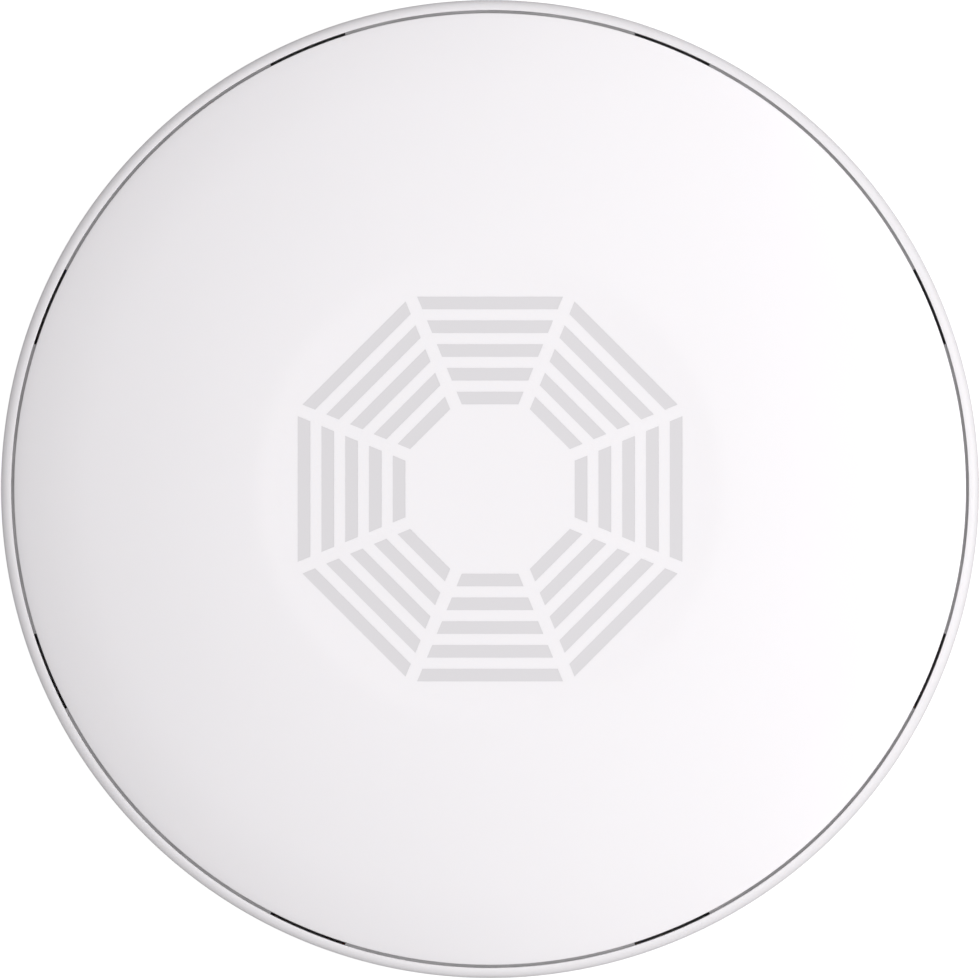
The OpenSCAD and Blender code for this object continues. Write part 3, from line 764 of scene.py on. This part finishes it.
def solid(name: str, mesh: bmesh.types.BMesh) -> bpy.types.Object:
    """Turn a drawn mesh's faces outwards and make an object of it.

    Args:
        name: The object's name.
        mesh: The drawn mesh, which is used up.

    Returns:
        The object.
    """
    bmesh.ops.recalc_face_normals(mesh, faces=mesh.faces)
    data = bpy.data.meshes.new(name)
    mesh.to_mesh(data)
    mesh.free()
    return link(name, data)


def soften(mesh: bpy.types.Mesh, sharp_above: float = 30.0) -> None:
    """Shade a mesh smooth, apart from edges sharper than an angle in degrees."""
    mesh.shade_smooth()
    mesh.set_sharp_from_angle(angle=math.radians(sharp_above))


def turn(name: str, section: Sequence[Point], segments: int) -> bpy.types.Object:
    """Turn a closed section about the Z axis.

    Args:
        name: The object's name.
        section: Points round the section. Those on the axis become one vertex each.
        segments: How many flats go round.

    Returns:
        The turned solid.
    """
    mesh = bmesh.new()
    rings: list[list[bmesh.types.BMVert]] = []
    for radius, height in section:
        if radius < 1e-9:
            rings.append([mesh.verts.new((0.0, 0.0, height))])
            continue
        angles = (2 * math.pi * i / segments for i in range(segments))
        rings.append([mesh.verts.new((radius * math.cos(a), radius * math.sin(a), height)) for a in angles])
    for here, there in zip(rings, rings[1:] + rings[:1]):
        if len(here) == 1 and len(there) == 1:
            continue
        for i in range(segments):
            j = (i + 1) % segments
            corners = [here[i % len(here)], here[j % len(here)], there[j % len(there)], there[i % len(there)]]
            mesh.faces.new(list(dict.fromkeys(corners)))
    return solid(name, mesh)


def prism(mesh: bmesh.types.BMesh, outline: Sequence[Point], low: float, high: float) -> None:
    """Add an upright prism to a mesh.

    Args:
        mesh: The mesh it goes into.
        outline: Its outline, anticlockwise from above.
        low: Height of its underside.
        high: Height of its top.
    """
    under = [mesh.verts.new((x, y, low)) for x, y in outline]
    over = [mesh.verts.new((x, y, high)) for x, y in outline]
    mesh.faces.new(under[::-1])
    mesh.faces.new(over)
    for i in range(len(outline)):
        j = (i + 1) % len(outline)
        mesh.faces.new((under[i], under[j], over[j], over[i]))


def prisms(name: str, outlines: Sequence[Sequence[Point]], low: float, high: float) -> bpy.types.Object:
    """Make one object of several upright prisms.

    Args:
        name: The object's name.
        outlines: Each prism's outline.
        low: Height of the undersides.
        high: Height of the tops.

    Returns:
        The object.
    """
    mesh = bmesh.new()
    for outline in outlines:
        prism(mesh, outline, low, high)
    return solid(name, mesh)


def pins(name: str, places: Sequence[Point], diameter: float, low: float, high: float) -> bpy.types.Object:
    """Make one object of several upright pins.

    Args:
        name: The object's name.
        places: Each pin's centre.
        diameter: Their diameter.
        low: Height of their undersides.
        high: Height of their tops.

    Returns:
        The object.
    """
    flats = 32
    rim = [turned((diameter / 2, 0.0), 360 * i / flats) for i in range(flats)]
    outlines = [[(x + dx, y + dy) for dx, dy in rim] for x, y in places]
    return prisms(name, outlines, low, high)


def swept(name: str, section: Sequence[Point], spans: Sequence[Point], steps: int = 4) -> bpy.types.Object:
    """Turn a closed section about the Z axis through several short spans.

    Args:
        name: The object's name.
        section: Points round the section.
        spans: First and last angle of each span in degrees.
        steps: How many flats each span has.

    Returns:
        The object, with one solid for each span.
    """
    mesh = bmesh.new()
    for start, end in spans:
        rows = []
        for i in range(steps + 1):
            angle = start + (end - start) * i / steps
            rows.append([mesh.verts.new((*turned((r, 0.0), angle), z)) for r, z in section])
        mesh.faces.new(rows[0])
        mesh.faces.new(rows[-1][::-1])
        for here, there in zip(rows, rows[1:]):
            for i in range(len(section)):
                j = (i + 1) % len(section)
                mesh.faces.new((here[i], there[i], there[j], here[j]))
    return solid(name, mesh)


def carve(piece: bpy.types.Object, tool: bpy.types.Object, how: Cut) -> None:
    """Change a piece with a tool solid, and throw the tool away.

    Args:
        piece: The piece to change.
        tool: The solid that changes it.
        how: Whether the tool is added, removed, or keeps what lies inside it.
    """
    step = piece.modifiers.new("carve", "BOOLEAN")
    step.operation = how.value
    step.solver = "EXACT"
    step.object = tool
    bpy.context.view_layer.update()
    graph = bpy.context.evaluated_depsgraph_get()
    result = bpy.data.meshes.new_from_object(piece.evaluated_get(graph))
    piece.modifiers.remove(step)
    old = piece.data
    piece.data = result
    result.name = piece.name
    bpy.data.meshes.remove(old)
    bpy.data.objects.remove(tool)


@contextmanager
def opened(piece: bpy.types.Object) -> Iterator[bmesh.types.BMesh]:
    """Open a piece's mesh for changes, and write it back after them.

    Args:
        piece: The piece.

    Yields:
        Its mesh.
    """
    mesh = bmesh.new()
    mesh.from_mesh(piece.data)
    yield mesh
    mesh.to_mesh(piece.data)
    mesh.free()


def weld(piece: bpy.types.Object, distance: float = 1e-6) -> None:
    """Merge a piece's doubled vertices, and drop the normals that no longer fit it.

    Args:
        piece: The piece to weld.
        distance: How near two vertices are merged.
    """
    with opened(piece) as mesh:
        bmesh.ops.remove_doubles(mesh, verts=mesh.verts, dist=distance)
    stored = piece.data.attributes.get("custom_normal")
    if stored:
        piece.data.attributes.remove(stored)


def clean(piece: bpy.types.Object, distance: float = 2e-6) -> None:
    """Cut a carved piece into triangles, and close up those with no area.

    Args:
        piece: The piece to clean.
        distance: The size below which an edge or a triangle's height counts as none.
    """
    way = {"quad_method": "BEAUTY", "ngon_method": "BEAUTY"}
    with opened(piece) as mesh:
        bmesh.ops.remove_doubles(mesh, verts=mesh.verts, dist=distance)
        bmesh.ops.triangulate(mesh, faces=mesh.faces, **way)
        bmesh.ops.dissolve_degenerate(mesh, dist=distance, edges=mesh.edges)
        bmesh.ops.triangulate(mesh, faces=mesh.faces, **way)


def turned(point: Point, degrees: float) -> Point:
    """Turn a point about the axis, anticlockwise from above.

    Args:
        point: The point.
        degrees: The angle to turn it by.

    Returns:
        The turned point.
    """
    c, s = math.cos(math.radians(degrees)), math.sin(math.radians(degrees))
    return (point[0] * c - point[1] * s, point[0] * s + point[1] * c)


def sector(outer: float, inner: float, start: float, end: float, steps: int = 8) -> list[Point]:
    """Outline of part of a ring.

    Args:
        outer: Its outer radius.
        inner: Its inner radius.
        start: Its first angle in degrees.
        end: Its last angle.
        steps: How many flats each arc has.

    Returns:
        The outline, anticlockwise.
    """
    angles = [start + (end - start) * i / steps for i in range(steps + 1)]
    far = [turned((outer, 0.0), a) for a in angles]
    near = [turned((inner, 0.0), a) for a in reversed(angles)]
    return far + near


def settle(piece: bpy.types.Object, finish: Finish, body: Body, slot: str, *nodes: str) -> None:
    """Dress a new piece, hide the frame nodes that it stands for and put it on its body.

    Args:
        piece: The piece.
        finish: Its finish.
        body: The body that it rides on.
        slot: A material slot's name; it is not used.
        nodes: The frame nodes that it stands for.
    """
    piece.data.materials.clear()
    piece.data.materials.append(finish.build())
    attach(piece, body.value)
    if nodes:
        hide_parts(*nodes)
    LOG.info("%s: %d vertices on %s", piece.name, len(piece.data.vertices), body.value)


def dress(finish: Finish, *nodes: str) -> None:
    """Give frame nodes a finish.

    Args:
        finish: The finish.
        nodes: The nodes' names.
    """
    for name in nodes:
        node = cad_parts[name]
        if not node.material_slots:
            node.data.materials.append(finish.build())
        for held in node.material_slots:
            held.material = finish.build()
        LOG.info("%s: dressed in %s", name, finish.name)


# ---- Sub-assemblies ----


@dataclass
class FrontCover:
    """The dome cover with its ring of stripes."""

    flat_r: float = 50.5 * MM
    crease_w: float = 3.5 * MM
    edge_band: float = 17.0 * MM
    shoulder_slope: float = 3.4
    band_slope: float = 9.0
    edge_slope: float = 16.0
    wall: float = 2.2 * MM
    edge_height: float = 1.6 * MM
    edge_round: float = 0.25 * MM
    skirt_inset: float = 2.1 * MM
    skirt_t: float = 1.7 * MM
    skirt_drop: float = 1.4 * MM
    guide_r: float = 3.5 * MM
    glow_wall: float = 0.9 * MM
    stripe_outer: float = 46.7 * MM
    stripe_inner: float = 19.0 * MM
    stripe_w: float = 2.82 * MM
    stripe_depth: float = 0.4 * MM
    stripe_sink: float = 0.02 * MM
    sectors: int = 8
    bosses: int = 4
    boss_r: float = 79.8 * MM
    boss_d: float = 7.0 * MM
    boss_low: float = 14.0 * MM
    pilot_d: float = 2.5 * MM
    pilot_top: float = 20.6 * MM
    hooks: int = 8
    hook_w: float = 8.0 * MM
    hook_reach: float = 1.2 * MM
    hook_inset: float = 0.2 * MM
    hook_drop: float = 4.5 * MM
    hook_play: float = 0.3 * MM
    segments: int = 360
    radius: float = field(init=False)
    top: float = field(init=False)

    def __post_init__(self) -> None:
        """Take the cover's radius and height from the frame."""
        low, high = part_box("front_cover")
        self.radius = round(max(high.x, high.y, -low.x, -low.y), 5)
        self.top = high.z

    def surface(self, drop: float = 0.0) -> list[Point]:
        """The outer surface's section from the flat centre to the edge.

        Args:
            drop: How far below the true surface it lies.

        Returns:
            Points from the end of the flat centre outwards.
        """
        top = self.top - drop
        crease_r = self.flat_r + self.crease_w
        band_r = self.radius - self.edge_band
        sines = [math.sin(math.radians(a)) for a in (self.shoulder_slope, self.band_slope, self.edge_slope)]
        points: list[Point] = [(self.flat_r, top)]
        bends = (
            (self.crease_w / sines[0], 0.0, self.shoulder_slope, 8),
            ((band_r - crease_r) / (sines[1] - sines[0]), self.shoulder_slope, self.band_slope, 16),
            (self.edge_band / (sines[2] - sines[1]), self.band_slope, self.edge_slope, 12),
        )
        for bend, from_slope, to_slope, steps in bends:
            r, z = points[-1]
            centre = (
                r - bend * math.sin(math.radians(from_slope)),
                z - bend * math.cos(math.radians(from_slope)),
            )
            points += arc(centre, bend, 90 - from_slope, 90 - to_slope, steps)[1:]
        return points

    def section(self) -> list[Point]:
        """The shell's closed section, from the axis outside and back inside.

        Returns:
            Points round the section.
        """
        outer = self.surface()
        edge_r, edge_z = outer[-1]
        base = edge_z - self.edge_height
        bend = self.edge_round
        round_centre = (edge_r - bend, edge_z - bend)
        outer = [p for p in outer if p[0] < edge_r - bend]
        rounded = arc(round_centre, bend, 90.0 - self.edge_slope, 0.0, 5)
        skirt_r = self.radius - self.skirt_inset
        hollow_r = skirt_r - self.skirt_t
        inner = [p for p in self.surface(self.wall) if p[0] < hollow_r]
        low = base - self.skirt_drop
        guide_z = self.top - self.glow_wall
        return [
            (0.0, self.top), *outer, *rounded,
            (edge_r, base), (skirt_r, base), (skirt_r, low), (hollow_r, low),
            (hollow_r, inner[-1][1]), *inner[::-1],
            (self.guide_r, self.top - self.wall), (self.guide_r, guide_z), (0.0, guide_z),
        ]

    def stripe_outlines(self) -> list[list[Point]]:
        """Outline of every stripe: straight bars across the middle of each sector.

        Returns:
            One outline for each stripe of each sector.
        """
        half = math.radians(180 / self.sectors)
        gap = self.stripe_w / 2 / math.cos(half)
        reach = self.stripe_outer * math.cos(half)
        count = round((reach - self.stripe_inner + self.stripe_w) / (2 * self.stripe_w))
        step = (reach - self.stripe_inner - self.stripe_w) / (count - 1)
        outlines = []
        for i in range(count):
            x0 = self.stripe_inner + i * step
            x1 = x0 + self.stripe_w
            y0, y1 = x0 * math.tan(half) - gap, x1 * math.tan(half) - gap
            bar = [(x0, -y0), (x1, -y1), (x1, y1), (x0, y0)]
            outlines += [[turned(p, k * 360 / self.sectors) for p in bar] for k in range(self.sectors)]
        return outlines

    def add_bosses(self, shell: bpy.types.Object) -> None:
        """Hang the screw bosses under the dome.

        Args:
            shell: The cover's shell.
        """
        step = 360 / self.bosses
        places = [turned((self.boss_r, 0.0), (k + 0.5) * step) for k in range(self.bosses)]
        outside = [z for r, z in self.surface() if r > self.boss_r + self.boss_d / 2]
        top = outside[0] - self.wall / 2
        carve(shell, pins("bosses", places, self.boss_d, self.boss_low, top), Cut.ADD)
        carve(shell, pins("pilots", places, self.pilot_d, self.boss_low - MM, self.pilot_top), Cut.REMOVE)

    def add_hooks(self, shell: bpy.types.Object) -> None:
        """Hang the snap hooks that catch under the housing's ledge.

        Args:
            shell: The cover's shell.
        """
        base = self.surface()[-1][1] - self.edge_height
        skirt_r = self.radius - self.skirt_inset
        barb = base - self.skirt_drop - self.hook_play
        inner = skirt_r - self.skirt_t + self.hook_inset
        outer = skirt_r - self.hook_inset
        root = barb + 2 * self.hook_play
        tip = base - self.hook_drop
        section = [
            (inner, root), (outer, root), (outer, barb),
            (skirt_r + self.hook_reach, barb), (outer, tip), (inner, tip),
        ]
        half = math.degrees(math.asin(self.hook_w / 2 / skirt_r))
        step = 360 / self.hooks
        spans = [(k * step - half, k * step + half) for k in range(self.hooks)]
        carve(shell, swept("hooks", section, spans), Cut.ADD)

    def build(self) -> None:
        """Make the shell and the stripes."""
        shell = turn("cover_shell", self.section(), self.segments)
        self.add_hooks(shell)
        self.add_bosses(shell)
        outlines = self.stripe_outlines()
        floor = self.top - self.stripe_depth
        carve(shell, prisms("pockets", outlines, floor, self.top + self.stripe_depth), Cut.REMOVE)
        clean(shell)
        soften(shell.data)
        settle(shell, WHITE_SHELL, Body.ACCESS_POINT, "white_shell", "front_cover")
        stripes = prisms("stripe_ring", outlines, floor, self.top - self.stripe_sink)
        soften(stripes.data)
        settle(stripes, STRIPE_GREY, Body.ACCESS_POINT, "grey_inlay", "stripe_inlays")


@dataclass
class RearHousing:
    """The bowl, its rounded rim and the ledge under the cover's edge."""

    rim_w: float = 2.35 * MM
    rim_round: float = 0.15 * MM
    wall: float = 2.2 * MM
    ceiling_gap: float = 1.2 * MM
    gap_depth: float = 1.6 * MM
    ledge_t: float = 1.4 * MM
    ledge_inset: float = 4.8 * MM
    vent_inset: float = 0.02 * MM
    vents: int = 8
    vent_arc: float = 9.7
    posts: int = 8
    post_r: float = 92.25 * MM
    post_d: float = 5.0 * MM
    post_low: float = 2.95 * MM
    stake_d: float = 2.4 * MM
    stake_rise: float = 0.6 * MM
    channel_w: float = 13.6 * MM
    channel_out: float = 4.0 * MM
    channel_low: float = 2.0 * MM
    channel_top: float = 6.5 * MM
    slide_w: float = 10.6 * MM
    slide_low: float = 2.7 * MM
    slide_top: float = 4.7 * MM
    slide_end: float = 89.6 * MM
    slider_angle: float = 111.175
    slider_slot_w: float = 7.0 * MM
    slider_slot_h: float = 3.3 * MM
    segments: int = 360
    radius: float = field(init=False)
    rim_z: float = field(init=False)

    def __post_init__(self) -> None:
        """Take the housing's radius and rim height from the frame."""
        low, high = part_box("rear_housing")
        self.radius = round(max(high.x, high.y, -low.x, -low.y), 4)
        self.rim_z = high.z

    @property
    def equator(self) -> float:
        """Height of the widest point."""
        return self.rim_z - self.rim_w

    @property
    def bowl(self) -> float:
        """Radius of the bowl's side."""
        return self.equator - self.ceiling_gap

    @property
    def back_r(self) -> float:
        """Radius of the flat back."""
        return self.radius - self.bowl

    def section(self) -> list[Point]:
        """Closed section of the bowl's side, rim and ledge.

        Returns:
            Points round the section.
        """
        centre = (self.back_r, self.equator)
        rim_inner = self.radius - self.rim_w
        ledge_z = self.rim_z - self.gap_depth
        ledge_r = self.radius - self.ledge_inset
        under = ledge_z - self.ledge_t
        inner_bend = self.bowl - self.wall
        reach = math.degrees(math.asin((under - self.equator) / inner_bend))
        soft = self.rim_round
        return [
            *arc(centre, self.bowl, -90.0, 0.0, 40),
            *arc((rim_inner, self.equator), self.rim_w, 0.0, 86.0, 16)[1:],
            *arc((rim_inner + soft, self.rim_z - soft), soft, 90.0, 180.0, 4),
            (rim_inner, ledge_z),
            (ledge_r, ledge_z),
            (ledge_r, under),
            *arc(centre, inner_bend, reach, -90.0, 40),
        ]

    def outer_shell(self) -> bpy.types.Object:
        """The bowl's side with its vents, posts and the slider's notch.

        Returns:
            The shell from the edge of the flat back outwards.
        """
        shell = turn("housing_bowl", self.section(), self.segments)
        rim_inner = self.radius - self.rim_w
        inner = self.radius - self.ledge_inset - 1 * MM
        step = 360 / self.vents
        middles = [(i + 0.5) * step for i in range(self.vents)]
        half = self.vent_arc / 2
        outer = rim_inner - self.vent_inset
        outlines = [sector(outer, inner, a - half, a + half, 24) for a in middles]
        ledge_z = self.rim_z - self.gap_depth
        carve(shell, prisms("vent_tools", outlines, ledge_z - 2 * self.ledge_t, ledge_z + MM), Cut.REMOVE)
        self.add_posts(shell)
        self.add_channel(shell)
        return shell

    def add_posts(self, shell: bpy.types.Object) -> None:
        """Stand up the antenna ring's posts, with the stakes that go through it.

        Args:
            shell: The housing's outer shell.
        """
        low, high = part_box("antenna_ring")
        places = [turned((self.post_r, 0.0), k * 360 / self.posts) for k in range(self.posts)]
        carve(shell, pins("posts", places, self.post_d, self.post_low, low.z), Cut.ADD)
        carve(shell, pins("stakes", places, self.stake_d, low.z - MM, high.z + self.stake_rise), Cut.ADD)

    def along_slider(self, start: float, end: float, width: float) -> list[Point]:
        """Outline of an oblong that lies along the lock slider's way.

        Args:
            start: Its inner end's distance from the axis.
            end: Its outer end's distance.
            width: Its width.

        Returns:
            The outline, anticlockwise.
        """
        corners = [(start, -width / 2), (end, -width / 2), (end, width / 2), (start, width / 2)]
        return [turned(p, self.slider_angle) for p in corners]

    def add_channel(self, shell: bpy.types.Object) -> None:
        """Add the outer end of the lock slider's channel, and open its slot.

        Args:
            shell: The housing's outer shell.
        """
        block = self.along_slider(self.back_r, self.back_r + self.channel_out, self.channel_w)
        carve(shell, prisms("channel", [block], self.channel_low, self.channel_top), Cut.ADD)
        room = self.along_slider(self.back_r - MM, self.slide_end, self.slide_w)
        carve(shell, prisms("slide", [room], self.slide_low, self.slide_top), Cut.REMOVE)
        slot = self.along_slider(self.back_r - MM, self.radius, self.slider_slot_w)
        carve(shell, prisms("slot", [slot], -MM, self.slider_slot_h), Cut.REMOVE)

    def back_plate(self) -> bpy.types.Object:
        """The flat back with its recess, port well and bosses, trimmed from the frame's own shape.

        Returns:
            The plate, inside the edge of the flat back.
        """
        plate = link("housing_back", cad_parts["rear_housing"].data.copy())
        weld(plate)
        disc = [turned((self.back_r, 0.0), 360 * i / self.segments) for i in range(self.segments)]
        carve(plate, prisms("trim_tool", [disc], -MM, self.rim_z + MM), Cut.KEEP_COMMON)
        return plate

    def build(self) -> None:
        """Make both halves of the housing."""
        for half in (self.outer_shell(), self.back_plate()):
            clean(half)
            soften(half.data)
            settle(half, WHITE_SHELL, Body.ACCESS_POINT, "white_shell", "rear_housing")


class HangingParts:
    """The ceiling bracket, the studs that hang on it and the lock slider."""

    def build(self) -> None:
        """Dress the parts that carry the access point."""
        dress(BRACKET_WHITE, "ceiling_bracket")
        dress(ZINC_STEEL, "mounting_studs", "cover_screws")
        dress(SLIDER_GREY, "lock_slider")
        dress(LABEL_WHITE, "rating_label")


class Electronics:
    """The board, what stands on it, and what cools it."""

    def build(self) -> None:
        """Dress the board, its chips and its cooling."""
        dress(BOARD_GREEN, "main_board")
        dress(CHIP_BLACK, "processor", "memory_chips", "radio_chips")
        dress(CHIP_BLACK, "line_transformer", "power_coils", "reset_switch")
        dress(CAST_PLATE, "heatsink")
        dress(PAD_PINK, "thermal_pads")
        dress(ZINC_STEEL, "board_screws", "heatsink_screws")
        dress(TIN_PLATE, "shield_cans")
        dress(TAPE_YELLOW, "power_transformer")
        dress(CAN_SLEEVE, "capacitors")
        dress(GUIDE_CLEAR, "light_guide", "status_led")
        dress(FOAM_BLACK, "light_gasket")


class Sockets:
    """The network socket, the power socket and the reset button."""

    def build(self) -> None:
        """Dress the sockets and the button."""
        dress(TIN_PLATE, "jack_shell", "dc_jack_pin")
        dress(SOCKET_BLACK, "jack_insert", "dc_jack_body")
        dress(GOLD_PLATE, "jack_contacts")
        dress(BUTTON_GREY, "reset_button")


class Antennas:
    """The antennas on their ring, with their leads and plugs."""

    def build(self) -> None:
        """Dress the antennas."""
        dress(BOARD_GREEN, "antenna_ring")
        dress(GOLD_PLATE, "antennas_low_band", "antennas_high_band", "lead_plugs")
        dress(LEAD_BLACK, "antenna_leads")


@dataclass(frozen=True)
class SoftBox:
    """A square area lamp: where it hangs, its side and its power in watts."""

    name: str
    place: tuple[float, float, float]
    size: float
    power: float

    def hang(self) -> bpy.types.Object:
        """Hang the lamp so that it faces the object.

        Returns:
            The lamp.
        """
        data = bpy.data.lights.new(self.name, "AREA")
        data.shape = "SQUARE"
        data.size = self.size
        data.energy = self.power
        made = link(self.name, data)
        made.location = self.place
        made.rotation_euler = (-Vector(self.place)).to_track_quat("-Z", "Y").to_euler()
        made.visible_camera = False
        return made


KEY = SoftBox("key", (1.608, 0.098, 1.007), 1.1, 32.0)
OVERHEAD = SoftBox("overhead", (0.0, 0.0, 2.2), 1.6, 12.5)
RIM_KEY = SoftBox("rim_key", KEY.place, KEY.size, 13.0)
RIM_TOP = SoftBox("rim_top", (0.6, -0.4, 2.1), 1.6, 11.0)


@dataclass
class Studio:
    """Floor, lights and camera."""

    lens: float = 600.0
    sensor: float = 36.0
    fill: float = 0.998
    floor_size: float = 60.0
    floor_t: float = 0.02
    floor_tones: tuple[float, float] = (0.34, 0.36)
    floor_glow: float = 0.85
    sky_light: float = 0.47
    sky_seen: float = 0.95

    def floor(self) -> None:
        """Lay the pale floor."""
        half = self.floor_size / 2
        corners = [(-half, -half), (half, -half), (half, half), (-half, half)]
        sheet = prisms("floor", [corners], -self.floor_t, 0.0)
        bench = MaterialBench("pale_floor")
        low, high = ((tone, tone, tone, 1.0) for tone in self.floor_tones)
        bench.set("Base Color", bench.blend(bench.noise(bench.spot(), 3.0, 2.0), low, high))
        bench.set("Roughness", 0.9)
        # The glow is for the camera alone, so that the floor doesn't light the rim from below
        seen = bench.add("LightPath").outputs["Is Camera Ray"]
        bench.set("Emission Color", (1.0, 1.0, 1.0, 1.0))
        bench.set("Emission Strength", bench.maths("MULTIPLY", seen, self.floor_glow))
        sheet.data.materials.append(bench.material)
        sheet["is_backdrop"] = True

    def flag(self, lamp: bpy.types.Object, piece: bpy.types.Object, how: Light) -> None:
        """Keep a lamp off one piece, or keep it on that piece alone.

        Args:
            lamp: The lamp.
            piece: The piece.
            how: Whether the lamp skips the piece or lights nothing else.
        """
        group = bpy.data.collections.new(lamp.name + "_flag")
        group.objects.link(piece)
        group.collection_objects[0].light_linking.link_state = how.value
        lamp.light_linking.receiver_collection = group

    def lights(self) -> None:
        """Hang the lamps and set the surroundings."""
        world = bpy.data.worlds.new("surroundings")
        bpy.context.scene.world = world
        world.use_nodes = True
        bench = NodeBench(world.node_tree)
        shade = world.node_tree.nodes["Background"]
        shade.inputs["Color"].default_value = (1.0, 1.0, 1.0, 1.0)
        seen = bench.add("LightPath").outputs["Is Camera Ray"]
        strength = bench.spread(seen, (0.0, 1.0), (self.sky_light, self.sky_seen))
        bench.join(strength, shade.inputs["Strength"])
        key = KEY.hang()
        OVERHEAD.hang()
        # The steep rim takes less of the side light than the cover, so that its outline shows
        bowl = bpy.data.objects["housing_bowl"]
        self.flag(key, bowl, Light.SKIP)
        self.flag(RIM_KEY.hang(), bowl, Light.ONLY)
        self.flag(RIM_TOP.hang(), bowl, Light.ONLY)

    def camera(self) -> None:
        """Look straight at the front, so that the object fills the view."""
        low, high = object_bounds()
        rim_z = RearHousing().equator
        radius = (high.x - low.x) / 2
        data = bpy.data.cameras.new("camera")
        data.lens = self.lens
        data.sensor_width = self.sensor
        half_view = self.sensor / 2 / self.lens
        distance = radius / (half_view * self.fill)
        made = link("camera", data)
        made.location = ((low.x + high.x) / 2, (low.y + high.y) / 2, rim_z + distance)
        bpy.context.scene.camera = made

    def build(self) -> None:
        """Set up the studio."""
        settings = bpy.context.scene.view_settings
        settings.view_transform = "Standard"
        settings.look = "None"
        self.floor()
        self.lights()
        self.camera()


def main() -> None:
    """Build every sub-assembly in order."""
    logging.basicConfig(level=logging.INFO, format="%(name)s %(message)s")
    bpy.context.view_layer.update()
    parts: list[object] = [
        FrontCover(), RearHousing(), HangingParts(), Electronics(), Sockets(), Antennas(), Studio(),
    ]
    for part in parts:
        LOG.info("building %s", type(part).__name__)
        part.build()


if __name__ == "__main__":
    main()
